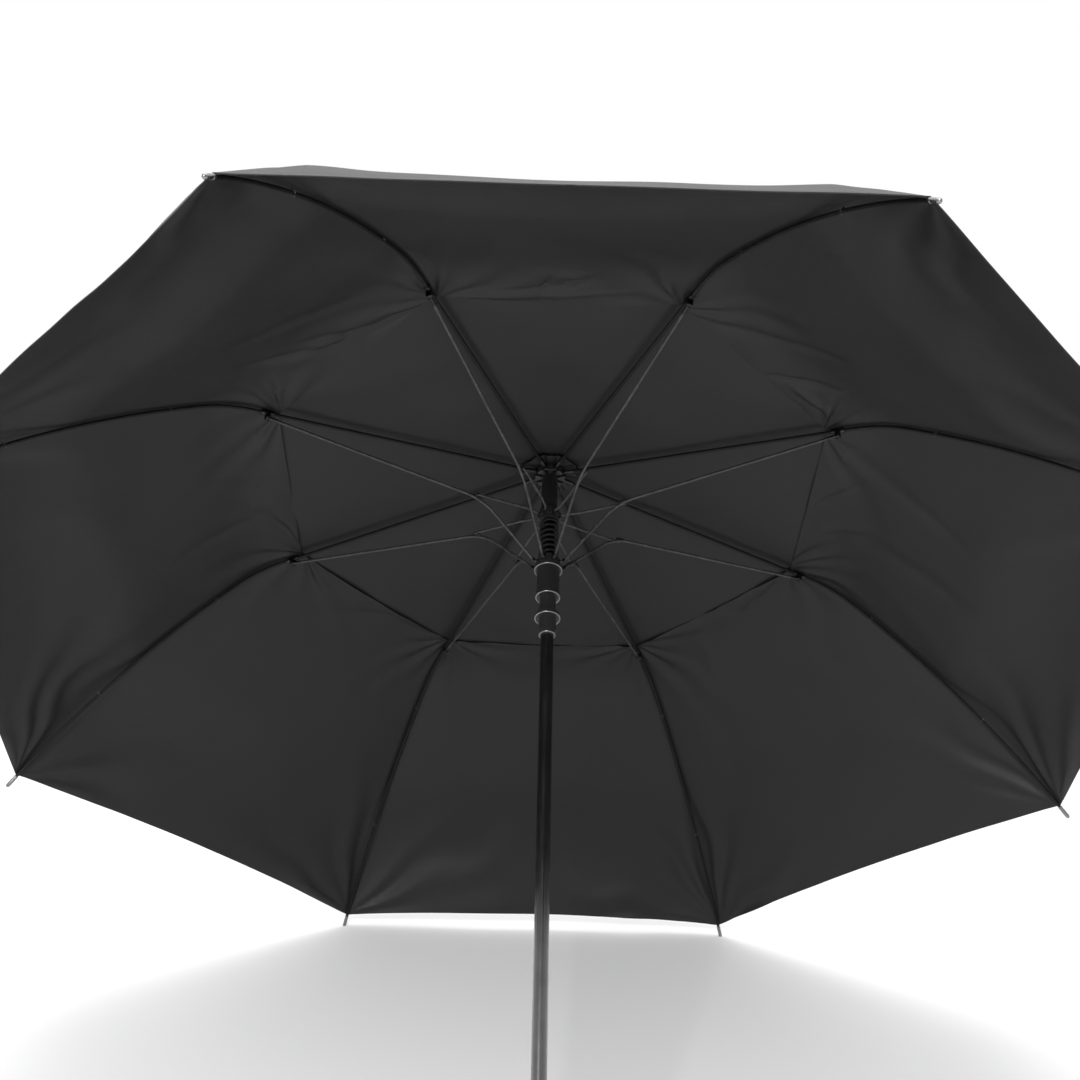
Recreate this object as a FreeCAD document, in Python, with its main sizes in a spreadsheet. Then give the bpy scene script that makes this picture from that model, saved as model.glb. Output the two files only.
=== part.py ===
import FreeCAD, Part
import math
import os

import Sketcher
from FreeCAD import Placement, Rotation, Vector

# Vented golf umbrella with eight ribs, standing upright on its axis: +Z runs from the
# handle's end to the ferrule, and the origin is the middle of the handle's bottom face.
# Every rib is drawn in its own plane, where a point is (radius, drop): the distance from
# the axis, and the distance below the crown's hinge pins.

SIZES = [
    # frame and shaft
    ("crown_height", 952, "hinge pins of the ribs above the handle's end"),
    ("first_azimuth", -112.5, "azimuth of rib 0"),
    ("rib_step", 45, "angle from rib to rib"),
    ("shaft_radius", 7, "outside of the steel tube"),
    ("shaft_bore", 6.2, "inside of the steel tube"),
    ("shaft_foot", 30, "where the tube ends inside the grip"),
    ("shaft_top", 985, "where the tube ends inside the ferrule"),
    ("slide_bore", 7.08, "bore of the pieces that slide on the shaft"),
    # crown
    ("pin_circle", 13.2, "radius of the crown's pin wire"),
    ("pin_wire", 0.7, "radius of the pin wire"),
    ("crown_sleeve", 9.35, "radius of the crown's sleeve"),
    ("crown_sleeve_length", 45.5, "sleeve below the notched wheel"),
    ("crown_wheel", 17, "radius of the notched wheel"),
    ("crown_wheel_top", 54.5, "top of the wheel, from the sleeve's foot"),
    ("crown_hub", 9, "radius of the hub over the wheel"),
    ("crown_hub_top", 60, "top of the hub, from the sleeve's foot"),
    ("crown_pin_level", 50, "pin wire, from the sleeve's foot"),
    ("notch_width", 4.2, "width of a notch"),
    ("notch_floor", 9.5, "radius of a notch's floor"),
    # top cap and ferrule
    ("cap_foot", 964.8, "underside of the top cap"),
    ("cap_radius", 15, "radius of the top cap"),
    ("cap_edge", 1.2, "thickness of the cap at its rim"),
    ("cap_height", 3.2, "thickness of the cap at its middle"),
    ("cap_crest", 10, "radius of the cap's flat middle"),
    ("ferrule_foot", 9, "radius of the ferrule's foot"),
    ("ferrule_collar", 6, "height of the ferrule's foot"),
    ("ferrule_neck", 7.9, "radius above the foot"),
    ("ferrule_bore_depth", 17, "depth of the ferrule's bore"),
    ("ferrule_tip", 4.5, "radius of the ferrule's tip"),
    ("ferrule_length", 52, "length of the ferrule"),
    ("ferrule_round", 3.5, "rounding of the ferrule's tip"),
    # runner, from its foot upwards
    ("runner_drop", 228, "foot of the runner below the crown's pins"),
    ("lip_radius", 8.75, "lip at the runner's foot"),
    ("lip_top", 5, "top of the lip"),
    ("tail_radius", 9.5, "tail that enters the handle"),
    ("tail_top", 22, "top of the tail"),
    ("stop_radius", 14, "stop ring over the tail"),
    ("stop_top", 26.5, "top of the stop ring"),
    ("waist_radius", 8.9, "slim stretch of the barrel"),
    ("waist_top", 50, "top of the slim stretch"),
    ("band_radius", 13.4, "band under the barrel"),
    ("band_top", 55, "top of the band"),
    ("barrel_radius", 12.5, "barrel"),
    ("barrel_top", 87, "top of the barrel"),
    ("flange_radius", 15.5, "flange under the notched head"),
    ("flange_top", 92.5, "top of the flange"),
    ("head_radius", 13, "notched head"),
    ("head_top", 103, "top of the runner"),
    ("ring_round", 0.8, "rounding of the runner's rings"),
    # slider of the struts, from its foot upwards
    ("slider_drop", 69, "foot of the slider below the crown's pins"),
    ("slider_hub", 11.2, "hub radius"),
    ("slider_hub_top", 15, "top of the hub"),
    ("slider_wheel", 13.4, "notched wheel radius"),
    ("slider_wheel_foot", 2.5, "foot of the wheel"),
    ("slider_wheel_top", 10.5, "top of the wheel"),
    ("slider_notch_floor", 11.4, "radius of a notch's floor"),
    # buffer spring
    ("spring_drop", 123.2, "foot of the spring's wire axis below the crown's pins"),
    ("spring_height", 52.4, "height between the ends of the wire's axis"),
    ("spring_pitch", 7.3, "rise of one coil"),
    ("spring_radius", 9.7, "radius of the wire's axis"),
    ("spring_wire", 1.5, "radius of the wire"),
    # handle
    ("grip_foot", 6, "bottom of the grip, on the end cap"),
    ("grip_radius", 17, "radius of the grip"),
    ("grip_top", 150, "top of the grip"),
    ("grip_round", 2.5, "rounding of the grip's top edge"),
    ("collar_radius", 16.5, "foot of the collar"),
    ("collar_top_radius", 14.6, "top of the collar"),
    ("collar_length", 55, "length of the collar"),
    ("mouth_radius", 11.5, "mouth that takes the runner's tail"),
    ("mouth_floor", 31, "floor of the mouth above the collar's foot"),
    ("cap_round", 2.5, "rounding of the end cap"),
    ("button_height", 165, "middle of the push button"),
    ("button_radius", 5, "push button"),
    ("button_clearance", 0.2, "gap round the push button"),
    ("button_inner", 11, "inner end of the button, from the axis"),
    ("button_length", 8.5, "length of the push button"),
    ("button_well", 8.2, "floor of the button's well, from the axis"),
    # ribs, in their own plane
    ("rib_radius", 1.9, "radius of a fibreglass rib"),
    ("rib_slope", 6.4, "slope of the inner rib below the horizontal"),
    ("rib_inner_length", 336, "crown pin to the bending point"),
    ("bend_gap", 2.4, "clear length each side of a bending point"),
    ("bend_arc_radius", 149.4, "tight curve past the joint"),
    ("bend_arc_turn", 23, "turn of the tight curve"),
    ("outer_arc_radius", 978, "long curve out to the tip"),
    ("outer_arc_turn", 20.7, "turn of the long curve"),
    ("tip_radius", 2.4, "rib tip"),
    ("tip_length", 14, "length of the rib tip"),
    ("tip_overhang", 4, "rib tip past the end of the rib"),
    ("eye_radius", 2.9, "hinge eye at the crown"),
    ("eye_width", 3.4, "width of a hinge eye"),
    ("eye_bore", 0.95, "bore of a hinge eye"),
    ("joint_distance", 323, "stretcher joint along the rib"),
    ("joint_offset", 6.2, "stretcher pivot below the rib's axis"),
    ("clip_radius", 2.8, "sleeve of the joint clip round the rib"),
    ("clip_length", 15, "length of the joint clip"),
    ("cheek_gap", 2.0, "half the gap between the clip's cheeks"),
    ("cheek_thickness", 1.2, "thickness of a cheek"),
    ("cheek_radius", 2.8, "round end of a cheek"),
    ("joint_pin_width", 5.2, "length of the joint clip's pin"),
    ("drill_length", 10.2, "length of the drill that bores the eyes"),
    ("eye_inset", 0.5, "rod's end inside its eye, past the bore"),
    # stretcher, arm and strut, in the rib's plane
    ("stretcher_radius", 1.6, "radius of the stretcher rod"),
    ("joint_eye", 2.5, "stretcher's eye at the rib joint"),
    ("bend_radius", 81.7, "bending point of the stretcher, from the axis"),
    ("bend_drop", 65.9, "bending point below the crown's pins"),
    ("arm_end_radius", 18.2, "arm's end over the runner, from the axis"),
    ("arm_end_drop", 131, "arm's end below the crown's pins"),
    ("arm_eye", 2.2, "eye at the arm's end"),
    ("strut_setback", 8, "strut clip before the bending point"),
    ("strut_clip_radius", 2.7, "sleeve of the strut clip"),
    ("strut_clip_length", 9, "length of the strut clip"),
    ("strut_offset", 4.2, "strut beside the stretcher's plane"),
    ("strut_radius", 1.4, "radius of the strut"),
    ("strut_eye", 2.4, "strut's outer eye"),
    ("strut_eye_width", 2.2, "width of the strut's eyes"),
    ("strut_pin", 0.85, "radius of the strut's pin"),
    ("strut_pin_width", 5.8, "length of the strut's pin, from the stretcher's middle"),
    ("strut_end_radius", 18.5, "strut's end over the slider, from the axis"),
    ("strut_end_drop", 62.7, "strut's end below the crown's pins"),
    ("strut_end_eye", 1.6, "eye at the strut's inner end"),
    # canopy
    ("cloth_thickness", 0.5, "thickness of the cloth"),
    ("gore_lift", 4.3, "middle of the lower cloth outside the rib's axis"),
    ("gore_inner", 295, "edge of the vent along the rib"),
    ("gore_outer", 741, "hem of the canopy along the rib"),
    ("gore_gap", 0.3, "half the gap between neighbouring gores"),
    ("hem_dip", 15, "hem drawn in between the ribs"),
    ("panel_sag", 12, "cloth below the chord between the ribs"),
    ("sag_start", 0.15, "share of the full wave of sag at the gore's inner edge"),
    ("sag_run", 0.75, "share of that wave from the inner edge to the hem"),
    ("vent_lift", 6.8, "middle of the vent cloth outside the rib's axis"),
    ("vent_rise", 5, "extra lift of the vent cloth round the crown"),
    ("vent_rise_reach", 40, "how far that extra lift reaches"),
    ("vent_hole", 9.6, "hole of the vent cloth round the hub"),
    ("vent_outer", 395, "hem of the vent cloth along the rib"),
    ("vent_sag", 6, "vent cloth below the chord between the ribs"),
    ("vent_sag_run", 0.8, "share of a full wave of sag from the hub to the vent's hem"),
]

RIBS = 8
# points of a half panel's surfaces, along the rib and away from it
GORE_ROWS, GORE_COLUMNS = 24, 6
VENT_ROWS, VENT_COLUMNS = 16, 4
doc = FreeCAD.newDocument("Umbrella")
sheet = doc.addObject("Spreadsheet::Sheet", "Sizes")
for row, (alias, number, note) in enumerate(SIZES, 1):
    sheet.set(f"A{row}", alias)
    sheet.set(f"B{row}", str(number))
    sheet.setAlias(f"B{row}", alias)
    sheet.set(f"C{row}", note)
doc.recompute()

nodes = []


def size(alias):
    return float(sheet.get(alias))


def node(obj, name):
    """Names a finished sub-part, which is written to a file of that name."""
    obj.Label = name
    nodes.append(obj)
    return obj


# ---- general builders -------------------------------------------------------------


def body(name, height=None, turned=False):
    """A PartDesign body on the axis; height is the expression of its foot's level."""
    made = doc.addObject("PartDesign::Body", name)
    if turned:
        made.Placement.Rotation = Rotation(Vector(0, 0, 1), size("rib_step") / 2)
    if height:
        made.setExpression("Placement.Base.z", height)
    return made


def datum(owner, role):
    """One of the body's own origin planes or axes."""
    return [f for f in owner.Origin.OriginFeatures if f.Role == role][0]


def sketch_on(owner, role, name):
    made = owner.newObject("Sketcher::SketchObject", name)
    made.AttachmentSupport = [(datum(owner, role), "")]
    made.MapMode = "FlatFace"
    return made


def level(name):
    return 0.0 if name == "0" else size(name)


def profile_sketch(owner, name, outline):
    """A closed outline in the XZ plane. Each corner is a pair of cells: radius, height."""
    made = sketch_on(owner, "XZ_Plane", name)
    corners = [Vector(level(r), level(h), 0) for r, h in outline]
    count = len(corners)
    for i in range(count):
        made.addGeometry(Part.LineSegment(corners[i], corners[(i + 1) % count]))
    for i in range(count):
        made.addConstraint(Sketcher.Constraint("Coincident", i, 2, (i + 1) % count, 1))
    for i, (radius, height) in enumerate(outline):
        for kind, cell, on_axis in (("DistanceX", radius, -2), ("DistanceY", height, -1)):
            if cell == "0":
                made.addConstraint(Sketcher.Constraint("PointOnObject", i, 1, on_axis))
                continue
            index = made.addConstraint(
                Sketcher.Constraint(kind, -1, 1, i, 1, size(cell))
            )
            made.setExpression(f"Constraints[{index}]", f"Sizes.{cell}")
    return made


def revolve(owner, name, outline):
    turned = owner.newObject("PartDesign::Revolution", name)
    turned.Profile = profile_sketch(owner, name + "_profile", outline)
    turned.ReferenceAxis = (turned.Profile[0], ["V_Axis"])
    turned.Angle = 360
    owner.Tip = turned
    doc.recompute()
    return turned


def cut_notches(owner, name, floor, outer, foot, top):
    """Eight radial notches from radius floor outwards, cut through from foot to top."""
    made = sketch_on(owner, "YZ_Plane", name + "_profile")
    half = size("notch_width") / 2
    low, high = level(foot), level(top)
    corners = [(-half, low), (half, low), (half, high), (-half, high)]
    points = [Vector(x, y, 0) for x, y in corners]
    for i in range(4):
        made.addGeometry(Part.LineSegment(points[i], points[(i + 1) % 4]))
    for i in range(4):
        made.addConstraint(Sketcher.Constraint("Coincident", i, 2, (i + 1) % 4, 1))
    made.addConstraint(Sketcher.Constraint("Horizontal", 2))
    for i in (1, 3):
        made.addConstraint(Sketcher.Constraint("Vertical", i))
    made.addConstraint(Sketcher.Constraint("Symmetric", 0, 1, 0, 2, -2))
    width = made.addConstraint(Sketcher.Constraint("DistanceX", 0, 1, 0, 2, 2 * half))
    made.setExpression(f"Constraints[{width}]", "Sizes.notch_width")
    for corner, cell in ((0, foot), (2, top)):
        if cell == "0":
            made.addConstraint(Sketcher.Constraint("PointOnObject", corner, 1, -1))
            continue
        index = made.addConstraint(
            Sketcher.Constraint("DistanceY", -1, 1, corner, 1, size(cell))
        )
        made.setExpression(f"Constraints[{index}]", f"Sizes.{cell}")
    made.setExpression("AttachmentOffset.Base.z", f"Sizes.{floor}")
    before = owner.Tip.Shape.Volume
    notch = owner.newObject("PartDesign::Pocket", name)
    notch.Profile = made
    notch.setExpression("Length", f"Sizes.{outer}")
    notch.Reversed = True
    owner.Tip = notch
    doc.recompute()
    if notch.Shape.Volume >= before:
        raise RuntimeError(f"{name} cuts nothing")
    pattern = owner.newObject("PartDesign::PolarPattern", name + "_pattern")
    pattern.Originals = [notch]
    pattern.Axis = (datum(owner, "Z_Axis"), [""])
    pattern.Angle = 360
    pattern.Occurrences = RIBS
    owner.Tip = pattern
    doc.recompute()
    one, all_of_them = before - notch.Shape.Volume, before - pattern.Shape.Volume
    if abs(all_of_them / one - RIBS) > 0.01:
        raise RuntimeError(f"{name} makes {all_of_them / one:.2f} notches")
    return pattern


def round_edges(owner, name, cell, radii, heights):
    """Rounds the circular edges of the tip that have one of the radii and heights."""
    base = owner.Tip
    wanted = []
    for i, edge in enumerate(base.Shape.Edges, 1):
        if not isinstance(edge.Curve, Part.Circle) or len(edge.Vertexes) > 1:
            continue
        for radius, height in zip(radii, heights):
            same_radius = abs(edge.Curve.Radius - radius) < 0.01
            if same_radius and abs(edge.Curve.Center.z - height) < 0.01:
                wanted.append(f"Edge{i}")
    if not wanted:
        raise RuntimeError(f"{name} finds no edge")
    made = owner.newObject("PartDesign::Fillet", name)
    made.Base = (base, wanted)
    made.setExpression("Radius", f"Sizes.{cell}")
    owner.Tip = made
    doc.recompute()
    return made


def primitive(kind, name, place, **bound):
    """A Part primitive whose properties are bound to expressions of the sheet."""
    made = doc.addObject("Part::" + kind, name)
    for prop, expression in bound.items():
        made.setExpression(prop, expression)
    made.Placement = place
    return made


def fuse(name, shapes):
    made = doc.addObject("Part::MultiFuse", name)
    made.Shapes = shapes
    return made


def cut(name, base, tool):
    made = doc.addObject("Part::Cut", name)
    made.Base = base
    made.Tool = tool
    return made


# ---- pieces on the axis -----------------------------------------------------------


def make_shaft():
    tube = body("ShaftBody")
    revolve(tube, "ShaftTube", [
        ("shaft_bore", "shaft_foot"), ("shaft_radius", "shaft_foot"),
        ("shaft_radius", "shaft_top"), ("shaft_bore", "shaft_top"),
    ])
    return node(tube, "shaft_tube")


def make_crown():
    crown = body("CrownBody", "Sizes.crown_height - Sizes.crown_pin_level", True)
    revolve(crown, "CrownWheel", [
        ("shaft_radius", "0"), ("crown_sleeve", "0"),
        ("crown_sleeve", "crown_sleeve_length"), ("crown_wheel", "crown_sleeve_length"),
        ("crown_wheel", "crown_wheel_top"), ("crown_hub", "crown_wheel_top"),
        ("crown_hub", "crown_hub_top"), ("shaft_radius", "crown_hub_top"),
    ])
    cut_notches(crown, "CrownNotch", "notch_floor", "crown_wheel",
                "crown_sleeve_length", "crown_wheel_top")
    wire = sketch_on(crown, "XZ_Plane", "PinWire_profile")
    middle = Vector(size("pin_circle"), size("crown_pin_level"), 0)
    wire.addGeometry(Part.Circle(middle, Vector(0, 0, 1), size("pin_wire")))
    for kind, cell in (("DistanceX", "pin_circle"), ("DistanceY", "crown_pin_level")):
        index = wire.addConstraint(Sketcher.Constraint(kind, -1, 1, 0, 3, size(cell)))
        wire.setExpression(f"Constraints[{index}]", f"Sizes.{cell}")
    index = wire.addConstraint(Sketcher.Constraint("Radius", 0, size("pin_wire")))
    wire.setExpression(f"Constraints[{index}]", "Sizes.pin_wire")
    ring = crown.newObject("PartDesign::Revolution", "PinWire")
    ring.Profile = wire
    ring.ReferenceAxis = (wire, ["V_Axis"])
    ring.Angle = 360
    crown.Tip = ring
    doc.recompute()
    return node(crown, "crown_notch")


def make_top_cap():
    cap = body("TopCapBody", "Sizes.cap_foot")
    revolve(cap, "TopCapDisc", [
        ("shaft_radius", "0"), ("cap_radius", "0"), ("cap_radius", "cap_edge"),
        ("cap_crest", "cap_height"), ("shaft_radius", "cap_height"),
    ])
    return node(cap, "top_cap")


def make_ferrule():
    tip = body("FerruleBody", "Sizes.cap_foot + Sizes.cap_height")
    revolve(tip, "FerruleSpike", [
        ("shaft_radius", "0"), ("ferrule_foot", "0"), ("ferrule_foot", "ferrule_collar"),
        ("ferrule_neck", "ferrule_collar"), ("ferrule_neck", "ferrule_bore_depth"),
        ("ferrule_tip", "ferrule_length"), ("0", "ferrule_length"),
        ("0", "ferrule_bore_depth"), ("shaft_radius", "ferrule_bore_depth"),
    ])
    round_edges(tip, "FerruleRound", "ferrule_round",
                [size("ferrule_tip")], [size("ferrule_length")])
    return node(tip, "ferrule")


def make_runner():
    runner = body("RunnerBody", "Sizes.crown_height - Sizes.runner_drop", True)
    steps = [("lip_radius", "lip_top"), ("tail_radius", "tail_top"),
             ("stop_radius", "stop_top"), ("waist_radius", "waist_top"),
             ("band_radius", "band_top"), ("barrel_radius", "barrel_top"),
             ("flange_radius", "flange_top"), ("head_radius", "head_top")]
    outline = [("slide_bore", "0")]
    foot = "0"
    for radius, top in steps:
        outline += [(radius, foot), (radius, top)]
        foot = top
    outline.append(("slide_bore", "head_top"))
    revolve(runner, "RunnerBarrel", outline)
    rings = [("stop_radius", "tail_top"), ("stop_radius", "stop_top"),
             ("band_radius", "waist_top"), ("band_radius", "band_top"),
             ("flange_radius", "barrel_top")]
    radii = [size(radius) for radius, _ in rings]
    heights = [size(height) for _, height in rings]
    round_edges(runner, "RunnerRounds", "ring_round", radii, heights)
    cut_notches(runner, "RunnerNotch", "notch_floor", "head_radius",
                "flange_top", "head_top")
    return node(runner, "runner")


def make_slider():
    slider = body("SliderBody", "Sizes.crown_height - Sizes.slider_drop", True)
    revolve(slider, "SliderWheel", [
        ("slide_bore", "0"), ("slider_hub", "0"), ("slider_hub", "slider_wheel_foot"),
        ("slider_wheel", "slider_wheel_foot"), ("slider_wheel", "slider_wheel_top"),
        ("slider_hub", "slider_wheel_top"), ("slider_hub", "slider_hub_top"),
        ("slide_bore", "slider_hub_top"),
    ])
    cut_notches(slider, "SliderNotch", "slider_notch_floor", "slider_wheel",
                "slider_wheel_foot", "slider_wheel_top")
    return node(slider, "strut_slider")


def make_spring():
    foot = Placement(Vector(0, 0, size("crown_height") - size("spring_drop")), Rotation())
    helix = primitive("Helix", "SpringHelix", foot, Pitch="Sizes.spring_pitch",
                      Height="Sizes.spring_height", Radius="Sizes.spring_radius")
    start = foot.Base + Vector(size("spring_radius"), 0, 0)
    section = primitive("Circle", "SpringSection",
                        Placement(start, Rotation(Vector(1, 0, 0), 90)),
                        Radius="Sizes.spring_wire")
    coil = doc.addObject("Part::Sweep", "SpringCoil")
    coil.Sections = [section]
    coil.Spine = (helix, [])
    coil.Solid = True
    coil.Frenet = True
    return node(coil, "buffer_spring")


def make_grip():
    grip = body("GripBody", "Sizes.grip_foot")
    revolve(grip, "GripSleeve", [
        ("0", "0"), ("grip_radius", "0"), ("grip_radius", "grip_body_top"),
        ("shaft_radius", "grip_body_top"), ("shaft_radius", "grip_bore_floor"),
        ("0", "grip_bore_floor"),
    ])
    round_edges(grip, "GripRound", "grip_round",
                [size("grip_radius")], [size("grip_body_top")])
    return node(grip, "handle_grip")


def make_collar():
    collar = body("CollarBody", "Sizes.grip_top")
    revolve(collar, "CollarSleeve", [
        ("shaft_radius", "0"), ("collar_radius", "0"),
        ("collar_top_radius", "collar_length"), ("mouth_radius", "collar_length"),
        ("mouth_radius", "mouth_floor"), ("shaft_radius", "mouth_floor"),
    ])
    well = sketch_on(collar, "XZ_Plane", "ButtonWell_profile")
    radius = size("button_radius") + size("button_clearance")
    rise = size("button_height") - size("grip_top")
    well.addGeometry(Part.Circle(Vector(0, rise, 0), Vector(0, 0, 1), radius))
    well.addConstraint(Sketcher.Constraint("PointOnObject", 0, 3, -2))
    index = well.addConstraint(Sketcher.Constraint("DistanceY", -1, 1, 0, 3, rise))
    well.setExpression(f"Constraints[{index}]", "Sizes.button_height - Sizes.grip_top")
    index = well.addConstraint(Sketcher.Constraint("Radius", 0, radius))
    well.setExpression(f"Constraints[{index}]",
                       "Sizes.button_radius + Sizes.button_clearance")
    well.setExpression("AttachmentOffset.Base.z", "Sizes.button_well")
    before = collar.Tip.Shape.Volume
    pocket = collar.newObject("PartDesign::Pocket", "ButtonWell")
    pocket.Profile = well
    pocket.setExpression("Length", "Sizes.collar_radius")
    pocket.Reversed = True
    collar.Tip = pocket
    doc.recompute()
    if pocket.Shape.Volume >= before:
        raise RuntimeError("the button's well cuts nothing")
    return node(collar, "handle_collar")


def make_button():
    """The push button points at -Y and is pressed towards the shaft."""
    out = Rotation(Vector(1, 0, 0), 90)
    place = Placement(Vector(0, -size("button_inner"), size("button_height")), out)
    stem = primitive("Cylinder", "ButtonStem", place, Radius="Sizes.button_radius",
                     Height="Sizes.button_length")
    doc.recompute()
    button = doc.addObject("Part::Fillet", "ButtonRound")
    button.Base = stem
    outer = size("button_inner") + size("button_length")
    ends = [i for i, edge in enumerate(stem.Shape.Edges, 1)
            if isinstance(edge.Curve, Part.Circle) and abs(edge.Curve.Center.y + outer) < 0.01]
    rounding = size("ring_round")
    button.Edges = [(i, rounding, rounding) for i in ends]
    return node(button, "push_button")


def make_end_cap():
    cap = body("EndCapBody")
    revolve(cap, "EndCapDisc", [
        ("0", "0"), ("grip_radius", "0"), ("grip_radius", "grip_foot"), ("0", "grip_foot"),
    ])
    round_edges(cap, "EndCapRound", "cap_round", [size("grip_radius")], [0.0])
    return node(cap, "end_cap")


# ---- rib planes -------------------------------------------------------------------


def step(point, angle, length):
    """The point at length from point, along an angle below the outward direction."""
    turn = math.radians(angle)
    return (point[0] + length * math.cos(turn), point[1] + length * math.sin(turn))


def heading(start, end):
    return math.degrees(math.atan2(end[1] - start[1], end[0] - start[0]))


def distance(start, end):
    return math.hypot(end[0] - start[0], end[1] - start[1])


def arc_end(start, angle, radius, turn):
    """End of an arc that leaves start at an angle and turns further down."""
    centre = step(start, angle + 90, radius)
    return step(centre, angle + turn - 90, radius)


CROWN_PIN = (size("pin_circle"), 0.0)
SLOPE = size("rib_slope")
RIB_BEND = step(CROWN_PIN, SLOPE, size("rib_inner_length"))
JOINT_FOOT = step(CROWN_PIN, SLOPE, size("joint_distance"))
JOINT = step(JOINT_FOOT, SLOPE + 90, size("joint_offset"))
ROD_BEND = (size("bend_radius"), size("bend_drop"))
ARM_END = (size("arm_end_radius"), size("arm_end_drop"))
STRUT_JOINT = step(ROD_BEND, heading(ROD_BEND, JOINT), size("strut_setback"))
STRUT_END = (size("strut_end_radius"), size("strut_end_drop"))


def rib_plane(k):
    """Placement of rib k's plane: X outwards, Z up, origin on the axis at the pins."""
    azimuth = size("first_azimuth") + k * size("rib_step")
    return Placement(Vector(0, 0, size("crown_height")), Rotation(Vector(0, 0, 1), azimuth))


def in_plane(k, point, angle=0.0, side=0.0):
    """Placement at a point of rib k's plane; its own X points along the angle."""
    turned = Rotation(Vector(0, 1, 0), angle)
    return rib_plane(k) * Placement(Vector(point[0], side, -point[1]), turned)


def rod(k, name, start, angle, radius, length, side=0.0):
    """A round rod from start along an angle; radius and length are expressions."""
    along = Placement(Vector(), Rotation(Vector(0, 1, 0), 90))
    return primitive("Cylinder", name, in_plane(k, start, angle, side) * along,
                     Radius=radius, Height=length)


def cross_pin(k, name, point, radius, width, side=0.0):
    """A cylinder across the rib's plane, centred at side; radius and width are cells."""
    across = Placement(Vector(0, size(width) / 2, 0), Rotation(Vector(1, 0, 0), 90))
    return primitive("Cylinder", name, in_plane(k, point, 0, side) * across,
                     Radius=f"Sizes.{radius}", Height=f"Sizes.{width}")


def cheek(k, name, side):
    """A flat cheek of the joint clip, from the rib's axis down to the joint's pin."""
    half, thickness = size("cheek_radius"), size("cheek_thickness")
    corner = Placement(Vector(-half, -thickness / 2, -size("joint_offset")), Rotation())
    return primitive("Box", name, in_plane(k, JOINT_FOOT, SLOPE, side) * corner,
                     Length="2 * Sizes.cheek_radius", Width="Sizes.cheek_thickness",
                     Height="Sizes.joint_offset")


def make_rib_inner(k):
    base = f"RibInner{k}"
    shank = rod(k, base + "Rod", step(CROWN_PIN, SLOPE, size("bend_gap")), SLOPE,
                "Sizes.rib_radius", "Sizes.rib_inner_length - 2 * Sizes.bend_gap")
    eye = cross_pin(k, base + "Eye", CROWN_PIN, "eye_radius", "eye_width")
    start = step(CROWN_PIN, SLOPE, size("joint_distance") - size("clip_length") / 2)
    clip = rod(k, base + "Clip", start, SLOPE, "Sizes.clip_radius", "Sizes.clip_length")
    parts = [shank, eye, clip, cross_pin(k, base + "Pin", JOINT, "strut_pin", "joint_pin_width")]
    for tag, sign in (("Left", -1), ("Right", 1)):
        side = sign * (size("cheek_gap") + size("cheek_thickness") / 2)
        parts.append(cheek(k, f"{base}Cheek{tag}", side))
        parts.append(cross_pin(k, f"{base}Lobe{tag}", JOINT, "cheek_radius",
                               "cheek_thickness", side))
    solid = fuse(base + "Solid", parts)
    bore = cross_pin(k, base + "Bore", CROWN_PIN, "eye_bore", "drill_length")
    return node(cut(base, solid, bore), f"rib_inner_{k}")


def make_rib_outer(k):
    base = f"RibOuter{k}"
    start = step(RIB_BEND, SLOPE, size("bend_gap"))
    knee = arc_end(start, SLOPE, size("bend_arc_radius"), size("bend_arc_turn"))
    knee_angle = SLOPE + size("bend_arc_turn")
    end = arc_end(knee, knee_angle, size("outer_arc_radius"), size("outer_arc_turn"))
    end_angle = knee_angle + size("outer_arc_turn")

    def middle(point, angle, radius, turn):
        return arc_end(point, angle, size(radius), size(turn) / 2)

    def point(flat):
        return Vector(flat[0], 0, -flat[1])

    bend_middle = middle(start, SLOPE, "bend_arc_radius", "bend_arc_turn")
    outer_middle = middle(knee, knee_angle, "outer_arc_radius", "outer_arc_turn")
    arcs = [Part.Arc(point(start), point(bend_middle), point(knee)),
            Part.Arc(point(knee), point(outer_middle), point(end))]
    spine = doc.addObject("Part::Feature", base + "Line")
    spine.Shape = Part.Wire([arc.toShape() for arc in arcs])
    spine.Placement = rib_plane(k)
    facing = Placement(Vector(), Rotation(Vector(0, 1, 0), 90))
    section = primitive("Circle", base + "Section", in_plane(k, start, SLOPE) * facing,
                        Radius="Sizes.rib_radius")
    bar = doc.addObject("Part::Sweep", base + "Bar")
    bar.Sections = [section]
    bar.Spine = (spine, [])
    bar.Solid = True
    tip_start = step(end, end_angle, size("tip_overhang") - size("tip_length"))
    tip = rod(k, base + "Tip", tip_start, end_angle, "Sizes.tip_radius", "Sizes.tip_length")
    ball_centre = step(end, end_angle, size("tip_overhang"))
    ball = primitive("Sphere", base + "Ball", in_plane(k, ball_centre),
                     Radius="Sizes.tip_radius")
    return node(fuse(base, [bar, tip, ball]), f"rib_outer_{k}")


def make_stretcher(k):
    base = f"Stretcher{k}"
    angle = heading(JOINT, ROD_BEND)
    inset = size("eye_bore") + size("eye_inset")
    length = distance(JOINT, ROD_BEND) - size("bend_gap") - inset
    shank = rod(k, base + "Rod", step(JOINT, angle, inset), angle,
                "Sizes.stretcher_radius", f"{length}")
    eye = cross_pin(k, base + "Eye", JOINT, "joint_eye", "eye_width")
    clip_start = step(STRUT_JOINT, angle, -size("strut_clip_length") / 2)
    clip = rod(k, base + "Clip", clip_start, angle, "Sizes.strut_clip_radius",
               "Sizes.strut_clip_length")
    pin = cross_pin(k, base + "Pin", STRUT_JOINT, "strut_pin", "strut_pin_width",
                    size("strut_pin_width") / 2)
    solid = fuse(base + "Solid", [shank, eye, clip, pin])
    bore = cross_pin(k, base + "Bore", JOINT, "eye_bore", "drill_length")
    return node(cut(base, solid, bore), f"stretcher_{k}")


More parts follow.
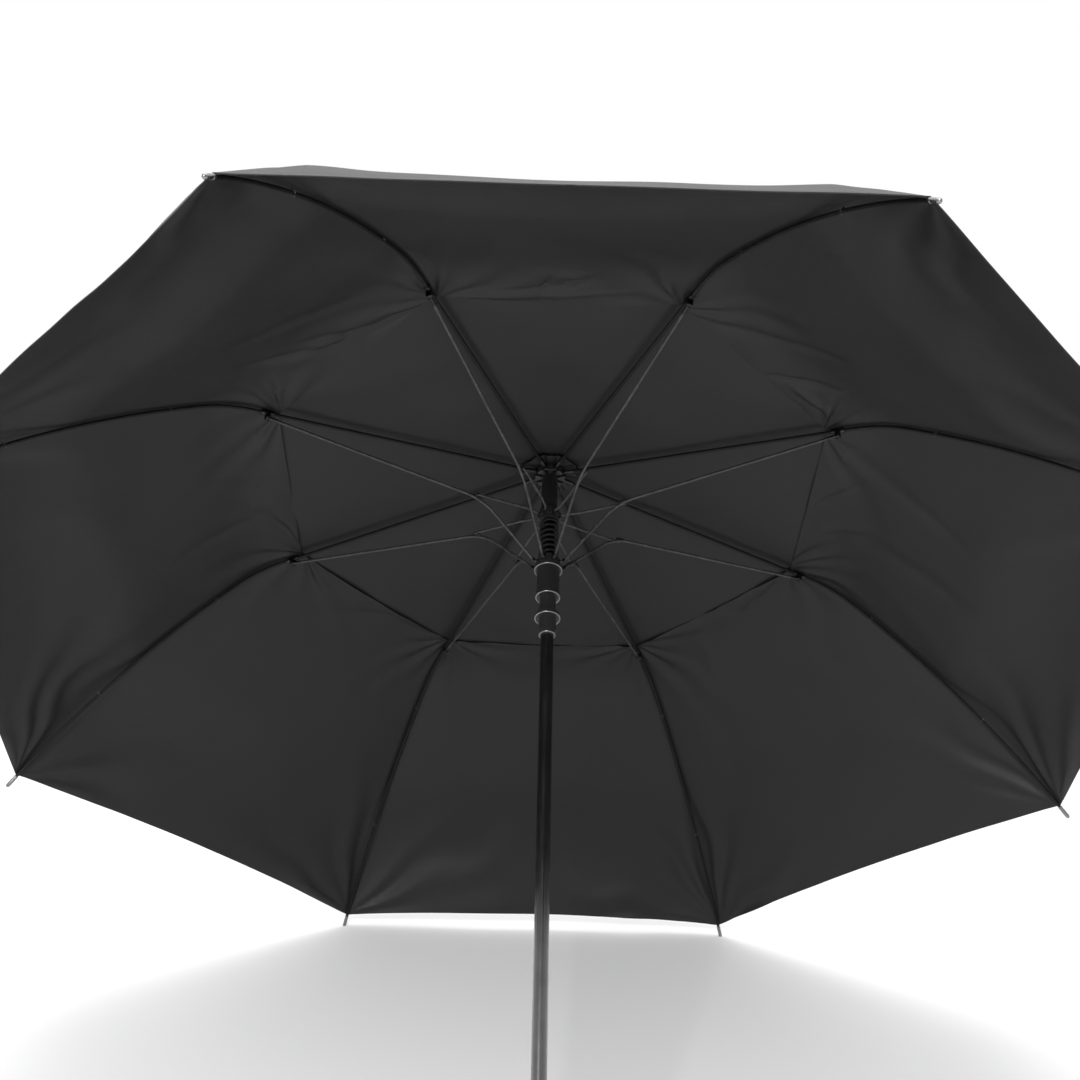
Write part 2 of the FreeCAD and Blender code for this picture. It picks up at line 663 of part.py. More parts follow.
def make_arm(k):
    base = f"Arm{k}"
    angle = heading(ROD_BEND, ARM_END)
    length = distance(ROD_BEND, ARM_END) - size("bend_gap")
    shank = rod(k, base + "Rod", step(ROD_BEND, angle, size("bend_gap")), angle,
                "Sizes.stretcher_radius", f"{length}")
    eye = cross_pin(k, base + "Eye", ARM_END, "arm_eye", "eye_width")
    return node(fuse(base, [shank, eye]), f"stretcher_arm_{k}")


def make_strut(k):
    base = f"Strut{k}"
    side = size("strut_offset")
    angle = heading(STRUT_JOINT, STRUT_END)
    inset = size("eye_bore") + size("eye_inset")
    length = distance(STRUT_JOINT, STRUT_END) - inset
    shank = rod(k, base + "Rod", step(STRUT_JOINT, angle, inset), angle,
                "Sizes.strut_radius", f"{length}", side)
    outer_eye = cross_pin(k, base + "Eye", STRUT_JOINT, "strut_eye", "strut_eye_width", side)
    inner_eye = cross_pin(k, base + "End", STRUT_END, "strut_end_eye", "strut_eye_width", side)
    solid = fuse(base + "Solid", [shank, outer_eye, inner_eye])
    bore = cross_pin(k, base + "Bore", STRUT_JOINT, "eye_bore", "drill_length", side)
    return node(cut(base, solid, bore), f"strut_{k}")


# ---- canopy -----------------------------------------------------------------------


def rib_point(length):
    """Point and slope of a rib's axis at a length from the crown pin."""
    bend = size("rib_inner_length") + size("bend_gap")
    if length <= bend:
        return step(CROWN_PIN, SLOPE, length), SLOPE
    start = step(CROWN_PIN, SLOPE, bend)
    turn = math.degrees((length - bend) / size("bend_arc_radius"))
    if turn <= size("bend_arc_turn"):
        return arc_end(start, SLOPE, size("bend_arc_radius"), turn), SLOPE + turn
    knee = arc_end(start, SLOPE, size("bend_arc_radius"), size("bend_arc_turn"))
    slope = SLOPE + size("bend_arc_turn")
    knee_length = bend + math.radians(size("bend_arc_turn")) * size("bend_arc_radius")
    turn = math.degrees((length - knee_length) / size("outer_arc_radius"))
    return arc_end(knee, slope, size("outer_arc_radius"), turn), slope + turn


def cloth_point(length, share, lift, sag, crown_rise=0.0):
    """Point of the cloth: share runs from 0 on the rib to 1 halfway to the next rib."""
    flat, slope = rib_point(length)
    rise = lift + crown_rise * math.exp(-((flat[0] / size("vent_rise_reach")) ** 2))
    bulge = 1 - (1 - share) ** 2
    radius, drop = step(flat, slope - 90, rise - sag * bulge)
    step_angle = math.radians(size("rib_step"))
    across = abs(share) / 2
    x = radius * (1 - across + across * math.cos(step_angle))
    y = radius * across * math.sin(step_angle)
    return Vector(x, y, -drop)


def interpolated(rows):
    surface = Part.BSplineSurface()
    surface.interpolate(rows)
    return surface


def cloth_solid(surface_point, columns, lengths):
    """A closed sheet of cloth: one half panel, mirrored across the rib's plane.
    surface_point(length share, side share, side of the cloth) gives its points."""
    faces = []
    for mirror in (1, -1):
        grids = []
        for skin in (-0.5, 0.5):
            rows = []
            for u in lengths:
                row = [surface_point(u, w, skin) for w in columns]
                rows.append([Vector(p.x, mirror * p.y, p.z) for p in row])
            grids.append(interpolated(rows))
        for surface in grids:
            faces.append(surface.toShape())
        low, high = grids
        borders = [surface.uIso(u) for u in (0, 1) for surface in (low, high)]
        borders += [surface.vIso(1) for surface in (low, high)]
        for i in (0, 2, 4):
            faces.append(Part.makeRuledSurface(borders[i].toShape(), borders[i + 1].toShape()))
    shell = Part.makeShell(faces)
    shell.sewShape()
    return Part.Solid(shell)


def gap_share(length):
    """Share of the half panel that stops a gore short of its neighbour."""
    radius = rib_point(length)[0][0]
    half_width = radius * math.sin(math.radians(size("rib_step") / 2))
    return 1 - size("gore_gap") / half_width


def make_gore(k):
    columns = [i / GORE_COLUMNS for i in range(GORE_COLUMNS + 1)]
    lengths = [i / GORE_ROWS for i in range(GORE_ROWS + 1)]
    inner, outer = size("gore_inner"), size("gore_outer")

    def surface_point(u, w, skin):
        hem = outer - size("hem_dip") * (1 - (1 - w) ** 2)
        length = inner + (hem - inner) * u
        share = w * gap_share(length)
        fullness = math.sin(math.pi * (size("sag_start") + size("sag_run") * u))
        lift = size("gore_lift") + skin * size("cloth_thickness")
        return cloth_point(length, share, lift, size("panel_sag") * fullness)

    made = doc.addObject("Part::Feature", f"Gore{k}")
    made.Shape = cloth_solid(surface_point, columns, lengths)
    made.Placement = rib_plane(k)
    return node(made, f"gore_{k}")


def make_vent_canopy():
    """The upper cloth, eight panels in one sheet with a hole round the hub."""
    inner = size("vent_hole") - size("pin_circle")
    outer = size("vent_outer")
    lengths = [i / VENT_ROWS for i in range(VENT_ROWS + 1)]
    columns = [i / VENT_COLUMNS for i in range(VENT_COLUMNS + 1)]
    skins = []
    borders = []
    for k in range(RIBS):
        plane = Placement(Vector(), Rotation(Vector(0, 0, 1), k * size("rib_step")))
        for mirror in (1, -1):
            grids = []
            for skin in (-0.5, 0.5):
                rows = []
                for u in lengths:
                    length = inner + (outer - inner) * u
                    lift = size("vent_lift") + skin * size("cloth_thickness")
                    sag = size("vent_sag") * math.sin(math.pi * size("vent_sag_run") * u)
                    row = [cloth_point(length, w, lift, sag, size("vent_rise"))
                           for w in columns]
                    rows.append([plane.multVec(Vector(p.x, mirror * p.y, p.z)) for p in row])
                grids.append(interpolated(rows))
            skins += [surface.toShape() for surface in grids]
            for u in (0, 1):
                low, high = (surface.uIso(u).toShape() for surface in grids)
                borders.append(Part.makeRuledSurface(low, high))
    shell = Part.makeShell(skins + borders)
    shell.sewShape()
    made = doc.addObject("Part::Feature", "VentCanopy")
    made.Shape = Part.Solid(shell)
    made.Placement = rib_plane(0)
    return node(made, "vent_canopy")


# ---- assembly ---------------------------------------------------------------------


def derived_cells():
    """Grip levels counted from the grip's own foot, worked out from the driving cells."""
    rows = len(SIZES)
    derived = [("grip_body_top", size("grip_top") - size("grip_foot"), "grip's height"),
               ("grip_bore_floor", size("shaft_foot") - size("grip_foot"), "bore's floor")]
    for row, (alias, number, note) in enumerate(derived, rows + 1):
        sheet.set(f"A{row}", alias)
        sheet.set(f"B{row}", str(number))
        sheet.setAlias(f"B{row}", alias)
        sheet.set(f"C{row}", note)
    doc.recompute()


def build():
    derived_cells()
    for make in (make_shaft, make_crown, make_top_cap, make_ferrule, make_runner,
                 make_slider, make_spring, make_grip, make_collar, make_button,
                 make_end_cap, make_vent_canopy):
        make()
    for k in range(RIBS):
        for make in (make_rib_inner, make_rib_outer, make_stretcher, make_arm,
                     make_strut, make_gore):
            make(k)
    doc.recompute()


def check():
    for obj in doc.Objects:
        if "Invalid" in obj.State or "Error" in obj.State:
            raise RuntimeError(f"{obj.Label} is {obj.State}")
    for obj in nodes:
        if obj.Shape.isNull() or not obj.Shape.isValid():
            raise RuntimeError(f"{obj.Label} has no valid shape")
        if not obj.Shape.Solids or obj.Shape.Volume <= 0:
            raise RuntimeError(f"{obj.Label} holds no solid")


build()
check()
os.makedirs("parts", exist_ok=True)
for obj in nodes:
    obj.Shape.exportStep(f"parts/{obj.Label}.step")
print(f"{len(nodes)} nodes written")
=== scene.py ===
import math

import bpy
import numpy as np
from mathutils import Matrix, Vector


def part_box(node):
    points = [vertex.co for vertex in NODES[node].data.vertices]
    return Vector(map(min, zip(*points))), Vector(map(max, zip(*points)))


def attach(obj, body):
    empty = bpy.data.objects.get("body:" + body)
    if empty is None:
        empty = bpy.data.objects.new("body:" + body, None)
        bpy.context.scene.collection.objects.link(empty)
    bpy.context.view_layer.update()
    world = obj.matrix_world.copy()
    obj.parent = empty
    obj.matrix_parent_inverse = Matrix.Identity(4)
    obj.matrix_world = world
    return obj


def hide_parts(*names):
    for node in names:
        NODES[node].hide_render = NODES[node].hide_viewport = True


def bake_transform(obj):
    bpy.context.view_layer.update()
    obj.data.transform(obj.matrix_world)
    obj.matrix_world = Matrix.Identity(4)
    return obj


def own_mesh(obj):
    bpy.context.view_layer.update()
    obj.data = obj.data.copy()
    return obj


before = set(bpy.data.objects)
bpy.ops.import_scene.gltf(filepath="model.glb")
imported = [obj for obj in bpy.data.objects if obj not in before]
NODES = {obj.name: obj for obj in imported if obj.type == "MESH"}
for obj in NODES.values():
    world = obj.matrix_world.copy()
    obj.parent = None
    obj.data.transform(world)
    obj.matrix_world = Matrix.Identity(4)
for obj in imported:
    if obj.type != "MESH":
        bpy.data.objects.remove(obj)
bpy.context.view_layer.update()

# Open golf umbrella in metres, +Z from the handle's end to the ferrule. A point of a rib's
# plane is (radius, drop): distance from the axis, and distance below the crown's pins.

RIBS = 8
CROWN = 0.952
FIRST_AZIMUTH = math.radians(-112.5)
RIB_STEP = math.radians(45)

# line of a rib: straight to the bend, a tight curve, then a long one
PIN_CIRCLE = 0.0132
SLOPE = math.radians(6.4)
STRAIGHT = 0.3384
TIGHT_RADIUS, TIGHT_TURN = 0.1494, math.radians(23)
LONG_RADIUS, LONG_TURN = 0.978, math.radians(20.7)
RIB_LENGTH = STRAIGHT + TIGHT_RADIUS * TIGHT_TURN + LONG_RADIUS * LONG_TURN
RIB_RADIUS = 0.0019
TIE_PLACES = (0.430, 0.609)

# linkage
JOINT_DISTANCE, JOINT_OFFSET = 0.323, 0.0062
ROD_BEND = (0.0817, 0.0659)
ARM_END = (0.0182, 0.131)
STRUT_SETBACK = 0.008
STRUT_END = (0.0185, 0.0627)
STRUT_SIDE = 0.0042
RUNNER_FOOT = 0.228      # drop of the runner's lower end
BEAD_RADIUS = 0.0009

# cloth
CLOTH = 0.00045
GORE_LIFT, VENT_LIFT = 0.0043, 0.0068
GORE_INNER, GORE_OUTER = 0.311, 0.741
HEM_DIP = 0.008
TOP_PANEL = 0            # billows most, and has no folds at its tips
SWELL_REACH = 0.20
SWELL_AT_RIB, SWELL_IN_PANEL, SWELL_BESIDE_RIB = 0.007, 0.005, 0.002
TIP_FOLD, TOP_TIP_FOLD, CORNER_FOLD = 0.0028, 0.0004, 0.0020
HEM_FOLD = 0.010
VENT_HOLE, VENT_OUTER = 0.0096, 0.395
VENT_RISE, VENT_RISE_REACH = 0.005, 0.040


# ---- places -------------------------------------------------------------------------


def azimuth(k):
    return FIRST_AZIMUTH + k * RIB_STEP


def outward(k):
    return Vector((math.cos(azimuth(k)), math.sin(azimuth(k)), 0))


def sideways(k):
    """Horizontal direction across rib k, towards rib k + 1."""
    return Vector((-math.sin(azimuth(k)), math.cos(azimuth(k)), 0))


def place(k, radius, drop, side=0.0):
    """The point of rib k's plane, moved sideways."""
    return outward(k) * radius + sideways(k) * side + Vector((0, 0, CROWN - drop))


def rib_line(length):
    """Radius, drop and slope of a rib's axis at one or many lengths from its crown pin."""
    length = np.asarray(length, float)
    straight = np.minimum(length, STRAIGHT)
    tight = np.clip((length - STRAIGHT) / TIGHT_RADIUS, 0, TIGHT_TURN)
    knee = STRAIGHT + TIGHT_RADIUS * TIGHT_TURN
    long = np.maximum((length - knee) / LONG_RADIUS, 0)
    mid = SLOPE + TIGHT_TURN
    radius = (PIN_CIRCLE + straight * math.cos(SLOPE)
              + TIGHT_RADIUS * (np.sin(SLOPE + tight) - math.sin(SLOPE))
              + LONG_RADIUS * (np.sin(mid + long) - math.sin(mid)))
    drop = (straight * math.sin(SLOPE)
            + TIGHT_RADIUS * (math.cos(SLOPE) - np.cos(SLOPE + tight))
            + LONG_RADIUS * (math.cos(mid) - np.cos(mid + long)))
    return radius, drop, SLOPE + tight + long


def off_rib(length, lift):
    """Radius and drop of a point that lies lift outside the rib's axis."""
    radius, drop, slope = rib_line(length)
    return radius + lift * np.sin(slope), drop - lift * np.cos(slope)


JOINT = tuple(float(x) for x in off_rib(JOINT_DISTANCE, -JOINT_OFFSET))


def towards(start, end, length):
    """The point at length from start on the way to end."""
    gap = math.hypot(end[0] - start[0], end[1] - start[1])
    share = length / gap
    return (start[0] + (end[0] - start[0]) * share, start[1] + (end[1] - start[1]) * share)


STRUT_JOINT = towards(ROD_BEND, JOINT, STRUT_SETBACK)


# ---- materials ----------------------------------------------------------------------


class Look:
    """A node material: a Principled shader and short ways to feed it."""

    def __init__(self, name, colour, roughness, metallic=0.0, **constants):
        self.material = bpy.data.materials.new(name)
        self.material.use_nodes = True
        self.nodes = self.material.node_tree.nodes
        self.links = self.material.node_tree.links
        self.shader = self.nodes["Principled BSDF"]
        self.colour = colour
        self.roughness = roughness
        self.shader.inputs["Base Color"].default_value = (*colour, 1)
        self.shader.inputs["Roughness"].default_value = roughness
        self.shader.inputs["Metallic"].default_value = metallic
        for socket, number in constants.items():
            self.shader.inputs[socket.replace("_", " ")].default_value = number

    def node(self, kind, **inputs):
        made = self.nodes.new("ShaderNode" + kind)
        for socket, number in inputs.items():
            made.inputs[socket.replace("_", " ")].default_value = number
        return made

    def join(self, out, into):
        self.links.new(out, into)

    def coordinates(self, source="Object", scale=(1, 1, 1)):
        place = self.node("TexCoord")
        mapping = self.node("Mapping", Scale=scale)
        self.join(place.outputs[source], mapping.inputs["Vector"])
        return mapping.outputs["Vector"]

    def noise(self, vector, scale, detail=4.0, rough=0.55):
        made = self.node("TexNoise", Scale=scale, Detail=detail, Roughness=rough)
        self.join(vector, made.inputs["Vector"])
        return made.outputs["Fac"]

    def spread(self, value, low, high, start=0.0, stop=1.0):
        made = self.node("MapRange", From_Min=start, From_Max=stop, To_Min=low, To_Max=high)
        self.join(value, made.inputs["Value"])
        return made.outputs["Result"]

    def maths(self, operation, first, second):
        made = self.nodes.new("ShaderNodeMath")
        made.operation = operation
        for socket, value in zip(made.inputs, (first, second)):
            if isinstance(value, (int, float)):
                socket.default_value = value
            else:
                self.join(value, socket)
        return made.outputs[0]

    def tint(self, value, dark, light):
        """Colour that runs from dark to light times the look's own colour."""
        mix = self.nodes.new("ShaderNodeMix")
        mix.data_type = "RGBA"
        self.join(value, mix.inputs["Factor"])
        mix.inputs["A"].default_value = (*(c * dark for c in self.colour), 1)
        mix.inputs["B"].default_value = (*(c * light for c in self.colour), 1)
        self.join(mix.outputs["Result"], self.shader.inputs["Base Color"])

    def rough(self, value, spread):
        low, high = self.roughness - spread, self.roughness + spread
        self.join(self.spread(value, low, high, 0.3, 0.7), self.shader.inputs["Roughness"])

    def bump(self, height, distance, strength=1.0):
        made = self.node("Bump", Strength=strength, Distance=distance)
        self.join(height, made.inputs["Height"])
        previous = self.shader.inputs["Normal"]
        if previous.is_linked:
            self.join(previous.links[0].from_socket, made.inputs["Normal"])
        self.join(made.outputs["Normal"], previous)


def cloth_look(name, colour, roughness, **constants):
    """Taut black pongee: a fine weave, faint streaks and a soft sheen."""
    look = Look(name, colour, roughness, **constants)
    cut = look.coordinates("UV")
    warp = look.node("TexWave", Scale=620.0, Distortion=0.6, Detail=1.0)
    warp.bands_direction = "X"
    weft = look.node("TexWave", Scale=620.0, Distortion=0.6, Detail=1.0)
    weft.bands_direction = "Y"
    for threads in (warp, weft):
        look.join(cut, threads.inputs["Vector"])
    weave = look.maths("MULTIPLY", warp.outputs["Fac"], weft.outputs["Fac"])
    streaks = look.noise(look.coordinates("UV", (900, 14, 1)), 1.0, 3.0)
    clouds = look.noise(look.coordinates("Object"), 5.0, 5.0)
    shade = look.maths("ADD", look.maths("MULTIPLY", streaks, 0.35),
                       look.maths("MULTIPLY", clouds, 0.65))
    look.tint(look.spread(shade, 0, 1, 0.35, 0.65), 0.86, 1.16)
    look.rough(clouds, 0.05)
    crumple = look.noise(look.coordinates("Object"), 38.0, 6.0, 0.5)
    look.bump(weave, 0.00006, 0.6)
    look.bump(crumple, 0.0012, 0.5)
    return look.material


def thread_look():
    look = Look("sewing_thread", (0.018, 0.018, 0.018), 0.6, Sheen_Weight=0.4)
    twist = look.node("TexWave", Scale=900.0, Distortion=1.0)
    twist.bands_direction = "DIAGONAL"
    look.join(look.coordinates("Object"), twist.inputs["Vector"])
    look.tint(twist.outputs["Fac"], 0.6, 1.5)
    look.bump(twist.outputs["Fac"], 0.0001)
    return look.material


def rod_look(name, colour, roughness, **constants):
    """Black lacquered rods, with drawn streaks and worn spots."""
    look = Look(name, colour, roughness, **constants)
    grain = look.noise(look.coordinates("Object"), 160.0, 3.0)
    look.tint(look.spread(grain, 0, 1, 0.4, 0.65), 0.7, 1.7)
    look.rough(grain, 0.08)
    look.bump(grain, 0.00001, 0.5)
    return look.material


def steel_look(name, colour, roughness, scratch):
    """Drawn steel tube: fine lines along the axis and a few handling marks."""
    look = Look(name, colour, roughness, 1.0)
    lines = look.noise(look.coordinates("Object", (1, 1, 0.02)), scratch, 3.0)
    marks = look.noise(look.coordinates("Object", (1, 1, 0.35)), 55.0, 6.0, 0.7)
    look.tint(look.spread(marks, 0, 1, 0.35, 0.75), 0.8, 1.25)
    look.rough(look.maths("ADD", look.maths("MULTIPLY", lines, 0.6),
                          look.maths("MULTIPLY", marks, 0.4)), 0.07)
    look.bump(lines, 0.00002, 0.5)
    return look.material


def plastic_look(name, colour, roughness):
    """Moulded plastic: fine spark grain, a faint flow mark, and a painted highlight on its sharp
    edges.
    """
    look = Look(name, colour, roughness, Specular_IOR_Level=0.5)
    spark = look.noise(look.coordinates("Object"), 900.0, 2.0)
    flow = look.noise(look.coordinates("Object", (1, 1, 0.3)), 40.0, 4.0)
    edges = look.node("NewGeometry")
    # Sharp edges, found by pointiness, get a lighter colour: a painted highlight.
    edge_highlight = look.spread(edges.outputs["Pointiness"], 0.0, 1.0, 0.52, 0.6)
    shade = look.maths("ADD", look.spread(flow, 0.2, 0.6), look.maths("MULTIPLY", edge_highlight, 0.5))
    look.tint(shade, 0.75, 2.1)
    look.rough(flow, 0.07)
    look.bump(spark, 0.00003, 0.6)
    return look.material


def foam_look():
    """Closed-cell foam of the grip: pores and a dry, dull skin."""
    look = Look("grip_foam_skin", (0.022, 0.022, 0.023), 0.82, Specular_IOR_Level=0.3)
    cells = look.node("TexVoronoi", Scale=1300.0)
    look.join(look.coordinates("Object"), cells.inputs["Vector"])
    clouds = look.noise(look.coordinates("Object"), 60.0, 5.0)
    look.tint(look.spread(clouds, 0, 1, 0.3, 0.7), 0.7, 1.5)
    look.rough(clouds, 0.06)
    look.bump(cells.outputs["Distance"], 0.00025, 0.7)
    return look.material


def floor_look():
    """White sweep that is seen only from its upper side."""
    look = Look("sweep_paper", (0.90, 0.90, 0.90), 0.9, Specular_IOR_Level=0.1,
                Emission_Strength=0.09)
    look.shader.inputs["Emission Color"].default_value = (1, 1, 1, 1)
    grain = look.noise(look.coordinates("Object"), 30.0, 3.0)
    look.tint(grain, 0.995, 1.0)
    side = look.node("NewGeometry")
    mix = look.node("MixShader")
    clear = look.node("BsdfTransparent")
    look.join(side.outputs["Backfacing"], mix.inputs["Fac"])
    look.join(look.shader.outputs["BSDF"], mix.inputs[1])
    look.join(clear.outputs["BSDF"], mix.inputs[2])
    look.join(mix.outputs["Shader"], look.nodes["Material Output"].inputs["Surface"])
    return look.material


LOOKS = {
    "cloth_outside": cloth_look("pongee_outside", (0.02, 0.02, 0.0205), 0.6, Sheen_Weight=0.15,
                                Sheen_Roughness=0.4, Specular_IOR_Level=0.3),
    # The inside has a darker colour than the outside of the same cloth: painted shade on the
    # underside.
    "cloth_inside": cloth_look("pongee_inside_shaded", (0.0155, 0.0155, 0.016), 0.48,
                               Specular_IOR_Level=0.3),
    "thread": thread_look(),
    "rib": rod_look("rib_lacquer", (0.006, 0.006, 0.0062), 0.45, Specular_IOR_Level=0.2),
    "linkage": rod_look("rod_lacquer", (0.036, 0.036, 0.037), 0.42),
    "black_steel": steel_look("shaft_steel", (0.19, 0.19, 0.195), 0.2, 900.0),
    "clip_steel": steel_look("clip_steel", (0.048, 0.048, 0.05), 0.36, 700.0),
    "tip_steel": steel_look("tip_steel", (0.28, 0.28, 0.29), 0.3, 700.0),
    "trim_steel": steel_look("trim_steel", (0.30, 0.30, 0.31), 0.3, 700.0),
    "spring_steel": steel_look("spring_wire", (0.03, 0.03, 0.032), 0.4, 500.0),
    "black_plastic": plastic_look("black_nylon", (0.014, 0.014, 0.0145), 0.36),
    "button_plastic": plastic_look("button_nylon", (0.05, 0.05, 0.052), 0.3),
    "grip_foam": foam_look(),
}


# ---- mesh tools ---------------------------------------------------------------------


def add_piece(name, points, faces, look, slot):
    """A smooth-shaded mesh in one look. The slot is not used."""
    mesh = bpy.data.meshes.new(name)
    mesh.from_pydata([tuple(p) for p in points], [], [tuple(f) for f in faces])
    mesh.materials.append(LOOKS[look])
    mesh.polygons.foreach_set("use_smooth", [True] * len(mesh.polygons))
    mesh.update()
    piece = bpy.data.objects.new(name, mesh)
    bpy.context.scene.collection.objects.link(piece)
    return piece


def sharpen(piece, angle=35):
    """Keeps edges that turn by more than the angle crisp."""
    piece.data.set_sharp_from_angle(angle=math.radians(angle))


def ring_faces(rings, sides):
    """Faces of a skin over rings of points, one after another, closed at both ends."""
    faces = []
    for i in range(rings - 1):
        for j in range(sides):
            after = (j + 1) % sides
            faces.append((i * sides + j, i * sides + after,
                          (i + 1) * sides + after, (i + 1) * sides + j))
    faces.append(tuple(range(sides))[::-1])
    faces.append(tuple((rings - 1) * sides + j for j in range(sides)))
    return faces


def rod_shape(k, path, radii, sides=14):
    """Points and faces of a round rod in rib k's plane; radii is one number or a list."""
    path = [(*p, 0.0) if len(p) == 2 else p for p in path]
    spots = [place(k, *p) for p in path]
    if not hasattr(radii, "__len__"):
        radii = [radii] * len(spots)
    across = sideways(k)
    points = []
    for i, (spot, radius) in enumerate(zip(spots, radii)):
        ahead = spots[min(i + 1, len(spots) - 1)] - spots[max(i - 1, 0)]
        up = ahead.cross(across).normalized()
        side = up.cross(ahead).normalized()
        for j in range(sides):
            turn = 2 * math.pi * j / sides
            points.append(spot + (side * math.cos(turn) + up * math.sin(turn)) * radius)
    return points, ring_faces(len(spots), sides)


def pin_shape(k, centre, radius, low, high, sides=20, bevel=0.00025):
    """Points and faces of a pin across rib k's plane, from low to high sideways."""
    rings = [(low, radius - bevel), (low + bevel, radius), (high - bevel, radius),
             (high, radius - bevel)]
    out, up = outward(k), Vector((0, 0, 1))
    points = []
    for side, size in rings:
        for j in range(sides):
            turn = 2 * math.pi * j / sides
            spot = place(k, centre[0], centre[1], side)
            points.append(spot + (out * math.cos(turn) + up * math.sin(turn)) * size)
    return points, ring_faces(len(rings), sides)


def turned_shape(profile, sides):
    """Points and faces of a profile of (radius, height) turned about the axis."""
    points = []
    for radius, height in profile:
        for j in range(sides):
            turn = 2 * math.pi * j / sides
            points.append(Vector((radius * math.cos(turn), radius * math.sin(turn), height)))
    return points, ring_faces(len(profile), sides)


def joined(shapes):
    """One list of points and faces from several shapes."""
    points, faces = [], []
    for more_points, more_faces in shapes:
        base = len(points)
        points += more_points
        faces += [tuple(i + base for i in face) for face in more_faces]
    return points, faces


def rounded_path(corners, radius, steps=10):
    """The corners joined by straight runs, with an arc of the radius at each inner corner."""
    path = [Vector(corners[0])]
    for before, corner, after in zip(corners, corners[1:], corners[2:]):
        corner = Vector(corner)
        back, ahead = (Vector(before) - corner), (Vector(after) - corner)
        reach_limit = 0.48 * min(back.length, ahead.length)
        back.normalize()
        ahead.normalize()
        half = back.angle(ahead) / 2
        reach = min(radius / math.tan(half), reach_limit)
        size = reach * math.tan(half)
        bisector = (back + ahead).normalized()
        centre = corner + bisector * (size / math.sin(half))
        first, last = corner + back * reach - centre, corner + ahead * reach - centre
        for i in range(steps + 1):
            share = i / steps
            spoke = (first * (1 - share) + last * share).normalized() * size
            path.append(centre + spoke)
    path.append(Vector(corners[-1]))
    return [tuple(p) for p in path]


def stretch_path(path, gap):
    """The same path with points no further apart than gap."""
    fine = [path[0]]
    for start, end in zip(path, path[1:]):
        start, end = Vector(start), Vector(end)
        count = max(1, math.ceil((end - start).length / gap))
        fine += [tuple(start.lerp(end, (i + 1) / count)) for i in range(count)]
    return fine


# ---- cloth --------------------------------------------------------------------------

# Folds drawn for each panel: start and end as (distance past the vent's edge,
# distance sideways from the panel's middle), half width and height.
FOLDS = {
    0: [((0.012, -0.075), (0.038, 0.050), 0.0050, 0.003),
        ((0.006, -0.020), (0.050, -0.006), 0.0035, 0.003),
        ((0.050, -0.030), (0.044, 0.032), 0.0040, -0.0027),
        ((0.020, 0.006), (0.052, 0.040), 0.0030, 0.0024),
        ((0.004, -0.100), (0.020, 0.080), 0.0045, -0.0021),
        ((0.030, -0.006), (0.034, 0.020), 0.0030, 0.0024)],
    1: [((0.004, 0.010), (0.060, 0.075), 0.0050, 0.0033),
        ((0.016, 0.030), (0.020, 0.105), 0.0040, -0.0027),
        ((0.040, -0.040), (0.110, 0.020), 0.0070, 0.0024),
        ((0.010, -0.080), (0.060, -0.020), 0.0055, 0.00225)],
    2: [((0.006, 0.000), (0.070, -0.060), 0.0050, 0.0033),
        ((0.020, 0.040), (0.090, 0.010), 0.0060, -0.0027),
        ((0.060, -0.080), (0.200, -0.030), 0.0090, 0.0024),
        ((0.080, 0.030), (0.240, 0.060), 0.0110, 0.0021)],
    3: [((0.010, -0.060), (0.050, -0.010), 0.0060, 0.0018),
        ((0.030, 0.040), (0.120, 0.070), 0.0080, -0.0015)],
    4: [((0.006, -0.030), (0.040, 0.020), 0.0060, 0.0012)],
    5: [((0.010, -0.030), (0.060, 0.040), 0.0070, 0.0015)],
    6: [((0.006, -0.080), (0.080, 0.000), 0.0060, 0.0024),
        ((0.030, 0.020), (0.130, 0.060), 0.0080, -0.0018),
        ((0.020, -0.040), (0.160, -0.060), 0.0080, 0.0018)],
    7: [((0.006, 0.060), (0.070, -0.020), 0.0055, 0.0033),
        ((0.010, 0.020), (0.100, -0.075), 0.0060, 0.003),
        ((0.030, 0.070), (0.050, -0.060), 0.0050, -0.0027),
        ((0.060, 0.090), (0.150, -0.040), 0.0080, 0.0021)],
}


def smooth_noise(rng, x, y, size):
    """Soft random hills of about the given size, between -1 and 1."""
    total = np.zeros_like(x)
    waves = 7
    for _ in range(waves):
        turn = rng.uniform(0, 2 * math.pi)
        phase = rng.uniform(0, 2 * math.pi)
        rate = 2 * math.pi / (size * rng.uniform(0.7, 1.6))
        total += np.sin((x * math.cos(turn) + y * math.sin(turn)) * rate + phase)
    return total / waves ** 0.5 / 1.4


def fan(rng, along, across, centre, folds, reach, height):
    """Folds that spread from a point and fade beyond their reach."""
    from_along, from_across = along - centre[0], across - centre[1]
    far = np.hypot(from_along, from_across)
    turn = np.arctan2(from_across, from_along)
    waver = 0.35 * smooth_noise(rng, along, across, 0.12)
    ridges = np.sin(turn * folds + waver * 4 + rng.uniform(0, 6))
    ridges = ridges * (0.6 + 0.4 * np.sin(turn * folds * 0.37 + rng.uniform(0, 6)))
    return height * ridges * (far / reach) ** 1.5 * np.exp(1.5 - 1.5 * far / reach)


def fold_line(along, across, start, end, half_width, height):
    """A single soft ridge from start to end, tapered at both ends."""
    run = (end[0] - start[0], end[1] - start[1])
    length = math.hypot(*run)
    here = ((along - start[0]) * run[0] + (across - start[1]) * run[1]) / length ** 2
    off = ((across - start[1]) * run[0] - (along - start[0]) * run[1]) / length
    taper = np.sin(np.clip(here, 0, 1) * math.pi) ** 0.7
    return height * taper * np.exp(-((off / half_width) ** 2))


